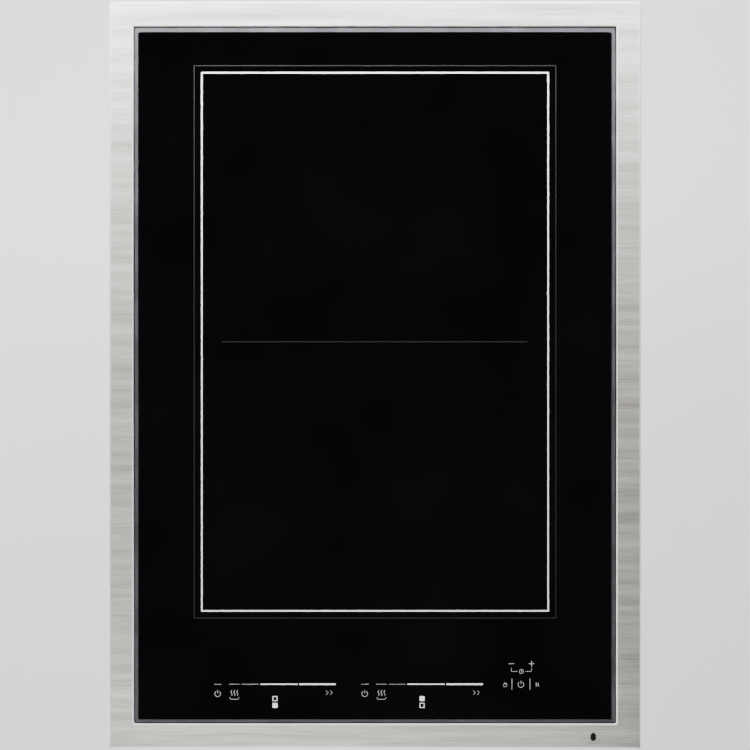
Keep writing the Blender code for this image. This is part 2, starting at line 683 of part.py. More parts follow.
def make_coil_plate():
    """A shallow bridge: a flat plate on two long legs that stand on the box's floor."""
    foot = BOX_SHEET + GAP
    inner = PLATE_X - PLATE_SHEET
    outline = [
        (-PLATE_X, foot),
        (-inner, foot),
        (-inner, PLATE_BOTTOM),
        (inner, PLATE_BOTTOM),
        (inner, foot),
        (PLATE_X, foot),
        (PLATE_X, PLATE_TOP),
        (-PLATE_X, PLATE_TOP),
    ]
    bm = bmesh.new()
    add_prism(bm, outline, PLATE_REAR - PLATE_DEPTH, PLATE_REAR, "Y")
    plate = add_part("coil_plate", "aluminium_sheet", bm)

    holes = bmesh.new()
    reach = 2 * PLATE_SHEET
    pitch = PLATE_DEPTH / WINDOW_COUNT
    width, height = WINDOW_SIZE
    for index in range(WINDOW_COUNT):
        y = PLATE_REAR - PLATE_DEPTH + pitch * (index + 0.5)
        low_z = foot + (PLATE_BOTTOM - foot - height) / 2
        outline = rectangle((y - width / 2, low_z), (y + width / 2, low_z + height))
        for side in SIDES.values():
            add_prism(holes, outline, side * (PLATE_X - reach), side * (PLATE_X + reach), "X")
    for coil_y in COILS.values():
        places = [(x, coil_y + y, PIN_RADIUS) for x, y in PIN_PLACES]
        for x, y, radius in [*places, (0, coil_y, SENSOR_RADIUS)]:
            outline = circle(radius + SLIDE_GAP, (x, y), 16)
            add_prism(holes, outline, PLATE_BOTTOM - reach, PLATE_TOP + reach)
    apply_tool(plate, "holes", holes)


def coil_outline(inset, centre_y):
    half_x = COIL_LENGTH / 2 - inset
    half_y = COIL_WIDTH / 2 - inset
    return rounded_rectangle(half_x, half_y, COIL_CORNER - inset, (0, centre_y), steps=6)


def coil_ring(inset_out, inset_in, centre_y, bottom, top):
    """Loops of a flat band between two insets from the coil's outline."""
    corners = [(inset_out, bottom), (inset_out, top), (inset_in, top), (inset_in, bottom)]
    loops = []
    for inset, height in corners:
        loops.append([(x, y, height) for x, y in coil_outline(inset, centre_y)])
    return loops


def make_coil(end, centre_y):
    pivot = (0, centre_y, CARRIER_BOTTOM)
    bm = bmesh.new()
    bottom = WINDING_TOP - WINDING_HEIGHT
    add_loft(bm, coil_ring(0, COIL_BUILD, centre_y, bottom, WINDING_TOP), closed=True)
    add_part(f"coil_winding_{end}", "copper_litz", bm, pivot)

    hole = circle(SENSOR_RADIUS + SLIDE_GAP, (0, centre_y), 16)
    bm = bmesh.new()
    add_prism(bm, coil_outline(0, centre_y), MICA_TOP - MICA_THICKNESS, MICA_TOP)
    mica = add_part(f"mica_sheet_{end}", "mica", bm, pivot)
    bore = bmesh.new()
    add_prism(bore, hole, MICA_TOP - 2 * MICA_THICKNESS, MICA_TOP + MICA_THICKNESS)
    apply_tool(mica, "bore", bore)

    bm = bmesh.new()
    add_prism(bm, coil_outline(-CARRIER_RIM, centre_y), CARRIER_BOTTOM, CARRIER_TOP)
    carrier = add_part(f"coil_carrier_{end}", "black_nylon", bm, pivot)
    pins = bmesh.new()
    for x, y in PIN_PLACES:
        outline = circle(PIN_RADIUS, (x, centre_y + y), 12)
        add_prism(pins, outline, PLATE_BOTTOM - PIN_BELOW_PLATE, CARRIER_TOP - GAP)
    apply_tool(carrier, "pins", pins, "UNION")
    bore = bmesh.new()
    add_prism(bore, hole, CARRIER_BOTTOM - CARRIER_THICKNESS, CARRIER_TOP + CARRIER_THICKNESS)
    apply_tool(carrier, "bore", bore)

    make_ferrites(end, centre_y, pivot)
    make_springs(end, centre_y)
    make_sensor(end, centre_y)


def make_ferrites(end, centre_y, pivot):
    """Two bars along X under the band's ends, and two along Y under its long sides."""
    length, width, height = FERRITE
    side_x, side_y = FERRITE_SIDE
    bars = {
        "left": (-FERRITE_OUT, 0, length, width),
        "right": (FERRITE_OUT, 0, length, width),
        "far": (-side_x, side_y, width, length),
        "near": (side_x, -side_y, width, length),
    }
    for label, (x, y, size_x, size_y) in bars.items():
        low = (x - size_x / 2, centre_y + y - size_y / 2, FERRITE_TOP - height)
        high = (x + size_x / 2, centre_y + y + size_y / 2, FERRITE_TOP)
        bm = bmesh.new()
        add_block(bm, low, high)
        add_part(f"ferrite_bar_{end}_{label}", "ferrite", bm, pivot)


def make_springs(end, centre_y):
    """Helical springs round the carrier's guide pins."""
    low = PLATE_TOP + GAP + SPRING_WIRE
    high = CARRIER_BOTTOM - GAP - SPRING_WIRE
    steps = SPRING_TURNS * 10
    for number, (x, y) in enumerate(PIN_PLACES, 1):
        centre = (x, centre_y + y)
        bm = bmesh.new()
        wire = circle(SPRING_WIRE, (centre[0] + SPRING_RADIUS, low), 5)
        face = bm.faces.new([bm.verts.new((u, centre[1], v)) for u, v in wire])
        bmesh.ops.spin(
            bm,
            geom=[face],
            cent=(*centre, 0),
            axis=(0, 0, 1),
            dvec=(0, 0, (high - low) / steps),
            angle=math.tau * SPRING_TURNS,
            steps=steps,
        )
        add_part(f"coil_spring_{end}_{number}", "spring_steel", bm, (*centre, low))


def make_sensor(end, centre_y):
    bottom = MICA_TOP - SENSOR_LENGTH
    profile = [
        (0, bottom),
        (SENSOR_STEM_RADIUS, bottom),
        (SENSOR_STEM_RADIUS, MICA_TOP - SENSOR_HEAD),
        (SENSOR_RADIUS, MICA_TOP - SENSOR_HEAD),
        (SENSOR_RADIUS, MICA_TOP),
        (0, MICA_TOP),
    ]
    bm = bmesh.new()
    add_turned(bm, profile, (0, centre_y), steps=16, closed=False)
    add_part(f"temperature_sensor_{end}", "ceramic_sensor", bm, (0, centre_y, bottom))


def add_board(name, centre, size):
    low = (centre[0] - size[0] / 2, centre[1] - size[1] / 2, BOARD_BOTTOM)
    high = (centre[0] + size[0] / 2, centre[1] + size[1] / 2, BOARD_TOP)
    bm = bmesh.new()
    add_block(bm, low, high)
    add_part(name, "green_laminate", bm)


def make_power_board():
    centre = power_board_centre()
    add_board("power_board", centre, POWER_BOARD)

    length, width, height = HEAT_SINK
    bottom = BOARD_TOP + GAP
    left = centre[0] - length / 2
    gap = (width - HEAT_SINK_FINS * FIN_THICKNESS) / (HEAT_SINK_FINS - 1)
    front = MOUTH_MIDDLE_Y - width / 2
    comb = [(front, bottom), (front + width, bottom)]
    for fin in reversed(range(HEAT_SINK_FINS)):
        near = front + fin * (FIN_THICKNESS + gap)
        far = near + FIN_THICKNESS
        comb += [(far, bottom + height), (near, bottom + height)]
        if fin:
            comb += [(near, bottom + HEAT_SINK_BASE), (near - gap, bottom + HEAT_SINK_BASE)]
    bm = bmesh.new()
    add_prism(bm, comb, left, left + length, "X")
    add_part("heat_sink", "aluminium_sheet", bm)

    long, deep, tall = CAPACITOR
    place = (centre[0] + CAPACITOR_PLACE[0], MOUTH_MIDDLE_Y + CAPACITOR_PLACE[1])
    outline = rounded_rectangle(long / 2, deep / 2, CAPACITOR_CORNER, place, steps=2)
    bm = bmesh.new()
    add_prism(bm, outline, bottom, bottom + tall)
    add_part("dc_link_capacitor", "capacitor_case", bm)


def make_filter():
    centre = filter_board_centre()
    add_board("filter_board", centre, FILTER_BOARD)
    middle = BOARD_TOP + GAP + CHOKE_TUBE
    tube = circle(CHOKE_TUBE, (CHOKE_RADIUS, middle), 10)
    bm = bmesh.new()
    add_turned(bm, tube, centre, steps=20)
    add_part("filter_choke", "choke_winding", bm)


def make_terminal():
    """A stepped terminal block, and a lid that stands over it like a small cabinet."""
    wide, deep, tall = TERMINAL
    bottom = BOX_SHEET + GAP
    rear = ROOM_Y - TERMINAL_FROM_REAR
    step_deep, step_tall = TERMINAL_STEP
    outline = [
        (rear - deep, bottom),
        (rear, bottom),
        (rear, bottom + step_tall),
        (rear - step_deep, bottom + step_tall),
        (rear - step_deep, bottom + tall),
        (rear - deep, bottom + tall),
    ]
    bm = bmesh.new()
    add_prism(bm, outline, CONDUIT_X - wide / 2, CONDUIT_X + wide / 2, "X")
    add_part("terminal_block", "white_nylon", bm)

    inner_y = rear - deep - 3 * GAP
    inner_top = bottom + tall + 3 * GAP
    outline = [
        (inner_y - TERMINAL_LID, bottom),
        (inner_y, bottom),
        (inner_y, inner_top),
        (rear, inner_top),
        (rear, inner_top + TERMINAL_LID),
        (inner_y - TERMINAL_LID, inner_top + TERMINAL_LID),
    ]
    half = wide / 2 + 2 * GAP + TERMINAL_LID
    bm = bmesh.new()
    add_prism(bm, outline, CONDUIT_X - half, CONDUIT_X + half, "X")
    add_part("terminal_cover", "black_nylon", bm)


def make_conduit_bushing():
    """A flanged sleeve through the rear wall, turned upright and then laid along Y."""
    sleeve = CONDUIT_RADIUS + CONDUIT_WALL
    inside = -BOX_SHEET - GAP
    profile = [
        (CONDUIT_RADIUS, inside - CONDUIT_TAIL),
        (sleeve, inside - CONDUIT_TAIL),
        (sleeve, GAP),
        (CONDUIT_FLANGE_RADIUS, GAP),
        (CONDUIT_FLANGE_RADIUS, GAP + CONDUIT_FLANGE),
        (CONDUIT_RADIUS, GAP + CONDUIT_FLANGE),
    ]
    bm = bmesh.new()
    add_turned(bm, profile, steps=20)
    turn = Matrix.Rotation(math.radians(-90), 4, "X")
    place = Matrix.Translation((CONDUIT_X, BOX_Y, CONDUIT_HEIGHT))
    bmesh.ops.transform(bm, matrix=place @ turn, verts=bm.verts)
    add_part("conduit_bushing", "black_nylon", bm)


def volute(wall):
    """The fan housing's outline round its axis, moved inwards by a wall, with its mouth along +X."""
    turn = 270.0 - TONGUE_ANGLE
    steps = 22
    points = []
    for step in range(steps + 1):
        share = step / steps
        radius = VOLUTE_START + (VOLUTE_END - VOLUTE_START) * share - wall
        angle = math.radians(TONGUE_ANGLE + turn * share)
        points.append((radius * math.cos(angle), radius * math.sin(angle)))
    end = MOUTH_LENGTH + wall
    points.append((end, wall - VOLUTE_END))
    points.append((end, -MOUTH_SIDE - wall))
    if wall:
        angle = math.radians(TONGUE_ANGLE - 5)
        radius = VOLUTE_START + wall
        points.append((radius * math.cos(angle), radius * math.sin(angle)))
    return [(FAN_CENTRE.x + x, FAN_CENTRE.y + y) for x, y in points]


def make_fan():
    centre = (FAN_CENTRE.x, FAN_CENTRE.y)
    bm = bmesh.new()
    add_prism(bm, volute(0), FAN_BOTTOM, FAN_TOP)
    housing = add_part("fan_housing", "black_nylon", bm)
    room = bmesh.new()
    add_prism(room, volute(FAN_WALL), FAN_BOTTOM + FAN_WALL, FAN_TOP + FAN_WALL)
    apply_tool(housing, "room", room)
    inlet = bmesh.new()
    outline = circle(FAN_INLET_RADIUS, centre, 24)
    add_prism(inlet, outline, FAN_BOTTOM - FAN_WALL, FAN_BOTTOM + 2 * FAN_WALL)
    apply_tool(housing, "inlet", inlet)

    bm = bmesh.new()
    add_prism(bm, volute(0), FAN_TOP + GAP, FAN_TOP + GAP + FAN_WALL)
    add_part("fan_cover", "black_nylon", bm)

    motor_bottom = FAN_TOP - MOTOR_HEIGHT
    disc_top = motor_bottom - SLIDE_GAP
    shaft_end = disc_top - IMPELLER_DISC - SHAFT_BELOW_DISC
    profile = [
        (0, shaft_end),
        (SHAFT_RADIUS, shaft_end),
        (SHAFT_RADIUS, motor_bottom),
        (MOTOR_RADIUS, motor_bottom),
        (MOTOR_RADIUS, FAN_TOP),
        (0, FAN_TOP),
    ]
    bm = bmesh.new()
    add_turned(bm, profile, centre, steps=20, closed=False)
    add_part("fan_motor", "spring_steel", bm)
    make_impeller(centre, disc_top)


def make_impeller(centre, disc_top):
    """A disc with a hub below it, and a ring of leaning blades that hang from its rim."""
    pivot = (*centre, disc_top)
    bore = SHAFT_RADIUS + GAP
    disc_bottom = disc_top - IMPELLER_DISC
    profile = [
        (bore, disc_bottom - HUB_DROP),
        (HUB_RADIUS, disc_bottom - HUB_DROP),
        (HUB_RADIUS, disc_bottom),
        (IMPELLER_RADIUS, disc_bottom),
        (IMPELLER_RADIUS, disc_top),
        (bore, disc_top),
    ]
    bm = bmesh.new()
    add_turned(bm, profile, centre, steps=30)
    impeller = add_part("fan_impeller", "black_nylon", bm, pivot)

    blades = bmesh.new()
    middle = (IMPELLER_RADIUS + IMPELLER_EYE) / 2
    half = (IMPELLER_RADIUS - IMPELLER_EYE) / 2 - BLADE_THICKNESS / 2
    for index in range(BLADE_COUNT):
        blade = bmesh.new()
        low = (-half, -BLADE_THICKNESS / 2, disc_top - IMPELLER_HEIGHT)
        add_block(blade, low, (half, BLADE_THICKNESS / 2, disc_bottom + IMPELLER_DISC / 2))
        lean = Matrix.Rotation(math.radians(BLADE_LEAN), 4, "Z")
        out = Matrix.Translation((middle, 0, 0))
        turn = Matrix.Rotation(math.tau * index / BLADE_COUNT, 4, "Z")
        place = Matrix.Translation((*centre, 0)) @ turn @ out @ lean
        bmesh.ops.transform(blade, matrix=place, verts=blade.verts)
        mesh = bpy.data.meshes.new("blade")
        blade.to_mesh(mesh)
        blade.free()
        blades.from_mesh(mesh)
        bpy.data.meshes.remove(mesh)
    apply_tool(impeller, "blades", blades, "UNION")


def make_touch_controls():
    """A tray on four legs that holds the touch board under the front of the glass."""
    front = TOUCH_FROM_LEDGE - LEDGE_Y
    rear = front + TOUCH_DEPTH
    half = TOUCH_WIDTH / 2
    top = MICA_TOP
    bottom = top - TOUCH_HEIGHT
    bm = bmesh.new()
    add_block(bm, (-half, front, bottom), (half, rear, top))
    carrier = add_part("touch_carrier", "black_nylon", bm)
    legs = bmesh.new()
    for x in (-half, half - TOUCH_LEG):
        for y in (front, rear - TOUCH_LEG):
            high = (x + TOUCH_LEG, y + TOUCH_LEG, bottom + TOUCH_WALL / 2)
            add_block(legs, (x, y, BOX_SHEET + GAP), high)
    apply_tool(carrier, "legs", legs, "UNION")
    room = bmesh.new()
    wall = TOUCH_WALL
    low = (wall - half, front + wall, bottom + wall)
    add_block(room, low, (half - wall, rear - wall, top + wall))
    apply_tool(carrier, "room", room)
    ribbon_x = RIBBON_X
    half_slot = RIBBON_WIDTH / 2 + SLIDE_GAP
    board_bottom = GLASS_BOTTOM - TOUCH_BOARD_BELOW_GLASS - BOARD_THICKNESS
    slot = bmesh.new()
    slot_floor = board_bottom - 2 * GAP - RIBBON_THICKNESS
    low = (ribbon_x - half_slot, rear - 2 * wall, slot_floor)
    add_block(slot, low, (ribbon_x + half_slot, rear + wall, board_bottom))
    apply_tool(carrier, "slot", slot)

    margin = wall + GAP
    low = (margin - half, front + margin, board_bottom)
    high = (half - margin, rear - margin, board_bottom + BOARD_THICKNESS)
    bm = bmesh.new()
    add_block(bm, low, high)
    add_part("touch_board", "green_laminate", bm)

    long, deep, tall = DISPLAY
    bottom_z = board_bottom + BOARD_THICKNESS + GAP
    middle = front + DISPLAY_FROM_FRONT
    low = (-long / 2 - DISPLAY_LEFT, middle - deep / 2, bottom_z)
    high = (long / 2 - DISPLAY_LEFT, middle + deep / 2, bottom_z + tall)
    bm = bmesh.new()
    add_block(bm, low, high)
    add_part("display_module", "display_diffuser", bm)
    make_ribbon(ribbon_x, rear, board_bottom)


def make_ribbon(x, tray_rear, board_bottom):
    """A flat cable from the touch board, back over the tray's rim and down to the power board."""
    thick = RIBBON_THICKNESS
    start = tray_rear - 3 * TOUCH_WALL - GAP
    top = board_bottom - GAP
    plate_front = PLATE_REAR - PLATE_DEPTH
    fall = (tray_rear + plate_front) / 2
    board_front = power_board_centre()[1] - POWER_BOARD[1] / 2
    end = board_front + RIBBON_LAP
    low = BOARD_TOP + GAP
    outline = [
        (start, top),
        (start, top - thick),
        (fall - thick / 2, top - thick),
        (fall - thick / 2, low),
        (end, low),
        (end, low + thick),
        (fall + thick / 2, low + thick),
        (fall + thick / 2, top),
    ]
    bm = bmesh.new()
    add_prism(bm, outline, x - RIBBON_WIDTH / 2, x + RIBBON_WIDTH / 2, "X")
    add_part("ribbon_cable", "grey_ribbon", bm)


def main():
    for item in list(bpy.data.objects):
        bpy.data.objects.remove(item, do_unlink=True)
    make_trim_frame()
    make_glass()
    make_sealant()
    make_gasket()
    make_burner_box()
    make_frame_brackets()
    for side, sign in SIDES.items():
        make_clamp(side, sign)
    make_coil_plate()
    for end, centre_y in COILS.items():
        make_coil(end, centre_y)
    make_power_board()
    make_filter()
    make_terminal()
    make_conduit_bushing()
    make_fan()
    make_touch_controls()


main()
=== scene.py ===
# %% [markdown]
# # A narrow induction cooktop
# The cooktop is a sheet of black glass-ceramic in a brushed steel frame, over a steel box that
# holds two coils, a fan and the electronics. The solid model is loaded as a fixed frame. This
# lesson gives it its finishes, its printed graphics and its small parts.

# %% Load the model
import math

import bmesh
import bpy
from mathutils import Matrix, Vector


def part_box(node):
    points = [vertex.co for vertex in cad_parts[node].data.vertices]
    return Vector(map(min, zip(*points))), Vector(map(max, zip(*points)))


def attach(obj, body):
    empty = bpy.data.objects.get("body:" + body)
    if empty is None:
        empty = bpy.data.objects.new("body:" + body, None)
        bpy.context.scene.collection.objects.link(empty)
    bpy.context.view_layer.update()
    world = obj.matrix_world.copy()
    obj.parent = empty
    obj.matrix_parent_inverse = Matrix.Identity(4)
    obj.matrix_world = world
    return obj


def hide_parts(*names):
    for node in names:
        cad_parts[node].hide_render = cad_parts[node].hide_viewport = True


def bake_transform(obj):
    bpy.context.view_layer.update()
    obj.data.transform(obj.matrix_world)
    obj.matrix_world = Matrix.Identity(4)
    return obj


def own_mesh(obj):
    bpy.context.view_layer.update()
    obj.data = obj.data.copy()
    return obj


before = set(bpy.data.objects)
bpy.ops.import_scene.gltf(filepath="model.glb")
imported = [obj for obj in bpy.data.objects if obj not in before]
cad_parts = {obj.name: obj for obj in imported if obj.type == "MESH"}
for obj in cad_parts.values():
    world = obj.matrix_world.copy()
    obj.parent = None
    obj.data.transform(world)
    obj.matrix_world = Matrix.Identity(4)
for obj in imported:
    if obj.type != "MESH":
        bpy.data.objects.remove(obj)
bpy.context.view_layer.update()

MM = 0.001
frame_low, frame_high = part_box("trim_frame")
glass_low, glass_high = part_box("glass_top")
print("trim frame", [round(v / MM, 1) for v in frame_high - frame_low], "mm")

# %% [markdown]
# The camera looks straight down at the middle of the frame. A long lens from five metres away
# shows the glass as a flat sheet, with no sides of the frame in view. An orthographic camera
# would do the same, but a lens keeps reflections as the eye sees them.

# %% Camera
CAMERA_HEIGHT = 5.0  # metres above the frame
SENSOR = 36.0  # millimetres
MARGIN = 1.0046  # a little air at the frame's two short ends

middle = (frame_low + frame_high) / 2
view_size = (frame_high.y - frame_low.y) * MARGIN
camera_data = bpy.data.cameras.new("camera")
camera_data.sensor_width = SENSOR
camera_data.lens = SENSOR * CAMERA_HEIGHT / view_size
camera = bpy.data.objects.new("camera", camera_data)
camera.location = (middle.x, middle.y, frame_high.z + CAMERA_HEIGHT)
bpy.context.scene.collection.objects.link(camera)
bpy.context.scene.camera = camera
print("lens", round(camera_data.lens, 1), "mm")


# %% [markdown]
# Colours are picked as sRGB hex values, as a paint chart gives them. Shaders want linear
# light, so one function turns them over.

# %% Colour
def linear(hex_colour):
    channels = []
    for i in (0, 2, 4):
        value = int(hex_colour[i : i + 2], 16) / 255
        channels.append(value / 12.92 if value <= 0.04045 else ((value + 0.055) / 1.055) ** 2.4)
    return (*channels, 1.0)


print("mid grey is", round(linear("808080")[0], 3))


# %% [markdown]
# Materials are small node trees. One function adds a node with its settings and its links, so
# each tree reads as a list. An input that is given a socket is linked to it, and any other
# value is set. The next helpers are the steps that most finishes share.

# %% Nodes
def add_node(tree, kind, settings=None, **inputs):
    node = tree.nodes.new("ShaderNode" + kind)
    for name, value in (settings or {}).items():
        setattr(node, name, value)
    for name, value in inputs.items():
        key = int(name[1:]) if name[1:].isdigit() else name.replace("_", " ")
        if isinstance(value, bpy.types.NodeSocket):
            tree.links.new(value, node.inputs[key])
        else:
            node.inputs[key].default_value = value
    return node


def new_material(name, colour, roughness, metallic=0.0, **sockets):
    """A Principled material, with its tree and shader for what the finish adds."""
    material = bpy.data.materials.new(name)
    material.use_nodes = True
    tree = material.node_tree
    shader = tree.nodes["Principled BSDF"]
    shader.inputs["Base Color"].default_value = linear(colour)
    shader.inputs["Roughness"].default_value = roughness
    shader.inputs["Metallic"].default_value = metallic
    for socket, value in sockets.items():
        shader.inputs[socket.replace("_", " ")].default_value = value
    return material, tree, shader


def ramp(tree, factor, stops):
    """A colour ramp from (position, hex colour) stops."""
    node = add_node(tree, "ValToRGB", Fac=factor)
    elements = node.color_ramp.elements
    while len(elements) < len(stops):
        elements.new(0.5)
    for element, (position, colour) in zip(elements, stops):
        element.position = position
        element.color = linear(colour)
    return node.outputs["Color"]


def pattern_space(tree, across, turn=(0, 0, 0)):
    """Object coordinates, with one unit for each of these lengths in metres along X, Y and Z."""
    coordinates = add_node(tree, "TexCoord").outputs["Object"]
    scale = [1 / length for length in across]
    return add_node(tree, "Mapping", Vector=coordinates, Scale=scale, Rotation=turn).outputs["Vector"]


def noise(tree, across, detail=2.0, rough=0.5):
    space = pattern_space(tree, across)
    node = add_node(tree, "TexNoise", Vector=space, Scale=1.0, Detail=detail, Roughness=rough)
    return node.outputs["Fac"]


def vary_roughness(tree, shader, factor, low, high):
    node = add_node(tree, "MapRange", Value=factor, To_Min=low, To_Max=high)
    tree.links.new(node.outputs["Result"], shader.inputs["Roughness"])


def vary_colour(tree, shader, factor, stops):
    tree.links.new(ramp(tree, factor, stops), shader.inputs["Base Color"])


def use_bump(tree, shader, height, strength, distance):
    bump = add_node(tree, "Bump", Height=height, Strength=strength, Distance=distance)
    tree.links.new(bump.outputs["Normal"], shader.inputs["Normal"])


print("helpers ready")

# %% [markdown]
# The frame is stainless steel, brushed from left to right before it is folded. The grain
# spreads light across itself, so the highlight is long across the grain and short along it.
# The shader's anisotropy does that, with a tangent that runs across the grain, and long thin
# noise adds the streaks that the eye sees. Real grit lines are about 0.15 mm apart. They are
# drawn at 0.9 mm, so that they show.

# %% Brushed stainless steel
GRAIN_SPACING = 0.9 * MM
GRAIN_LENGTH = 38 * MM
GRAIN_BAND = (160 * MM, 9 * MM, 9 * MM)  # broad, faint bands where the belt pressed harder


def brushed_steel(name, dark, light, roughness):
    material, tree, shader = new_material(name, light, roughness, 1.0, Anisotropic=0.8)
    grain = noise(tree, (GRAIN_LENGTH, GRAIN_SPACING, GRAIN_SPACING), 4.0, 0.7)
    band = noise(tree, GRAIN_BAND, 2.0)
    both = add_node(tree, "Math", {"operation": "ADD"}, _0=grain, _1=band).outputs[0]
    half = add_node(tree, "Math", {"operation": "MULTIPLY"}, _0=both, _1=0.5).outputs[0]
    vary_colour(tree, shader, half, [(0.36, dark), (0.64, light)])
    vary_roughness(tree, shader, grain, roughness - 0.06, roughness + 0.06)
    tangent = add_node(tree, "Tangent", {"direction_type": "RADIAL", "axis": "X"})
    tree.links.new(tangent.outputs["Tangent"], shader.inputs["Tangent"])
    use_bump(tree, shader, grain, 0.16, 0.02 * MM)
    return material, tree, shader


made = brushed_steel("stainless_steel_brushed", "A3A09A", "E2DFD9", 0.54)
stainless, steel_tree, steel_shader = made
print("grain", round(GRAIN_SPACING / MM, 2), "mm apart")

# %% [markdown]
# The narrow bevel at the frame's lip is painted near white, without streaks: a painted
# highlight for the thin bright line round the glass. Its faces are the only ones that slope, so
# the slope of the surface picks them out.

# %% Painted highlight on the lip
surface = add_node(steel_tree, "NewGeometry").outputs["True Normal"]
upward = add_node(steel_tree, "SeparateXYZ", Vector=surface).outputs["Z"]
flat = add_node(steel_tree, "Math", {"operation": "GREATER_THAN"}, _0=upward, _1=0.97).outputs[0]
streaks = steel_shader.inputs["Base Color"].links[0].from_socket
# painted highlight: the sloped bevel faces get a near-white colour, for the bright line that light makes on
# the lip
painted_highlight = add_node(steel_tree, "Mix", {"data_type": "RGBA"}, _0=flat, _6=linear("F4F3F1"), _7=streaks)
steel_tree.links.new(painted_highlight.outputs[2], steel_shader.inputs["Base Color"])
print("lip ground bright")

# %% [markdown]
# Black glass-ceramic is almost perfectly smooth: what the eye sees is its sharp reflection.
# A very faint waviness keeps the reflections from being perfect, as on rolled glass.

# %% Black glass-ceramic
GLASS_WAVE = 70 * MM  # from crest to crest of the rolled surface


def glass_ceramic():
    material, tree, shader = new_material("glass_ceramic_rolled", "050506", 0.035, IOR=1.54)
    wave = noise(tree, (GLASS_WAVE,) * 3, 1.0)
    vary_colour(tree, shader, wave, [(0.3, "040405"), (0.7, "060607")])
    use_bump(tree, shader, wave, 0.02, 0.05 * MM)
    return material


black_glass = glass_ceramic()
print("black glass, IOR 1.54")

# %% [markdown]
# Most of the other parts are moulded, sintered or fired. Such a surface has a fine, even
# texture and a colour that hardly varies. One function makes them all from a colour, a
# roughness and the size of their texture, which runs from glossy plastic to open foam.

# %% Moulded, sintered and fired parts
CLOUD = 14  # the colour drifts over this many grains of the texture


def cast_surface(name, dark, light, roughness, texture, depth, **sockets):
    """The texture's size and its depth are in millimetres."""
    material, tree, shader = new_material(name, light, roughness, **sockets)
    cloud = noise(tree, (texture * MM * CLOUD,) * 3, 3.0)
    fine = noise(tree, (texture * MM,) * 3, 2.0, 0.6)
    vary_colour(tree, shader, cloud, [(0.3, dark), (0.7, light)])
    vary_roughness(tree, shader, fine, roughness - 0.07, roughness + 0.07)
    use_bump(tree, shader, fine, 0.5, depth * MM)
    return material


silicone = cast_surface("silicone_tooled", "38373C", "4F4E54", 0.5, 1.6, 0.05, IOR=1.41)
rubber = cast_surface("rubber_moulded", "131313", "1E1E1F", 0.75, 0.6, 0.03, IOR=1.5)
foam = cast_surface("polyethylene_foam_cut", "151516", "26262A", 0.95, 0.5, 0.15)
black_nylon = cast_surface("nylon_moulded_black", "141416", "222225", 0.55, 0.4, 0.02, IOR=1.53)
white_nylon = cast_surface("nylon_moulded_white", "CFCBC0", "E6E3DA", 0.5, 0.4, 0.02, IOR=1.53)
ferrite = cast_surface("ferrite_sintered", "2A2A2E", "46464B", 0.6, 0.5, 0.03)
fired_clay = cast_surface("steatite_fired", "DCD6C8", "F0ECE2", 0.45, 0.5, 0.02, IOR=1.6)
case_epoxy = cast_surface("epoxy_case_moulded", "2B2D34", "44474F", 0.4, 0.5, 0.02, IOR=1.55)
diffuser = cast_surface("polycarbonate_diffuser", "C4C4BE", "DADAD6", 0.4, 0.5, 0.01, IOR=1.58)
print("cast surfaces ready")

# %% [markdown]
# The burner box is galvanised sheet. Zinc freezes on the steel in flat crystals, the spangle,
# a few millimetres across, and each one reflects a little differently. Voronoi cells give the
# crystals: their random colour shifts both the grey and the roughness.

# %% Galvanised sheet
SPANGLE = 7 * MM


def galvanised_sheet():
    material, tree, shader = new_material("steel_galvanised", "A9ADAF", 0.42, 1.0)
    space = pattern_space(tree, (SPANGLE,) * 3)
    cells = add_node(tree, "TexVoronoi", {"feature": "F1"}, Vector=space, Scale=1.0)
    crystal = add_node(tree, "SeparateXYZ", Vector=cells.outputs["Color"]).outputs["X"]
    vary_colour(tree, shader, crystal, [(0.0, "9DA1A3"), (0.5, "A9ADAF"), (1.0, "B5B9BB")])
    vary_roughness(tree, shader, crystal, 0.4, 0.5)
    use_bump(tree, shader, crystal, 0.08, 0.01 * MM)
    return material


galvanised = galvanised_sheet()
print("spangle", round(SPANGLE / MM), "mm")

# %% [markdown]
# Sheet aluminium, plated screws and drawn wire are all metals with marks in one direction.
# They differ in colour, in how rough they are and in which way the marks run.

# %% Other metals
def drawn_metal(name, dark, light, roughness, across, depth):
    """The marks' size along X, Y and Z and their depth are in millimetres."""
    material, tree, shader = new_material(name, light, roughness, 1.0)
    marks = noise(tree, [size * MM for size in across], 3.0, 0.6)
    vary_colour(tree, shader, marks, [(0.3, dark), (0.7, light)])
    vary_roughness(tree, shader, marks, roughness - 0.08, roughness + 0.08)
    use_bump(tree, shader, marks, 0.3, depth * MM)
    return material


rolled_aluminium = drawn_metal("aluminium_rolled", "B9BBBE", "D3D5D8", 0.38, (0.6, 30, 30), 0.01)
extruded_aluminium = drawn_metal("aluminium_extruded", "AEB0B3", "CDCFD2", 0.35, (30, 0.5, 0.5), 0.02)
plated_steel = drawn_metal("steel_zinc_plated", "A8A698", "C9C7BB", 0.3, (1.5, 1.5, 1.5), 0.01)
spring_wire = drawn_metal("spring_steel_drawn", "77797C", "9FA1A4", 0.3, (0.4, 0.4, 3), 0.01)
tinned_copper = drawn_metal("copper_tinned", "B5B7B9", "D5D7D8", 0.28, (0.8, 0.8, 0.8), 0.01)
print("metals ready")

# %% [markdown]
# The windings are litz wire: hundreds of thin enamelled copper strands, twisted together. The
# strands show as fine slanting stripes. A wave texture, turned, draws them at 0.5 mm.

# %% Litz wire and enamelled wire
def wound_wire(name, dark, light, pitch, turn):
    material, tree, shader = new_material(name, light, 0.42, 0.75)
    space = pattern_space(tree, (pitch * 6,) * 3, turn)
    stripes = add_node(
        tree, "TexWave", {"bands_direction": "X"}, Vector=space, Scale=2.0, Distortion=1.2, Detail=2.0
    )
    vary_colour(tree, shader, stripes.outputs["Fac"], [(0.1, dark), (0.8, light)])
    use_bump(tree, shader, stripes.outputs["Fac"], 0.5, 0.08 * MM)
    return material


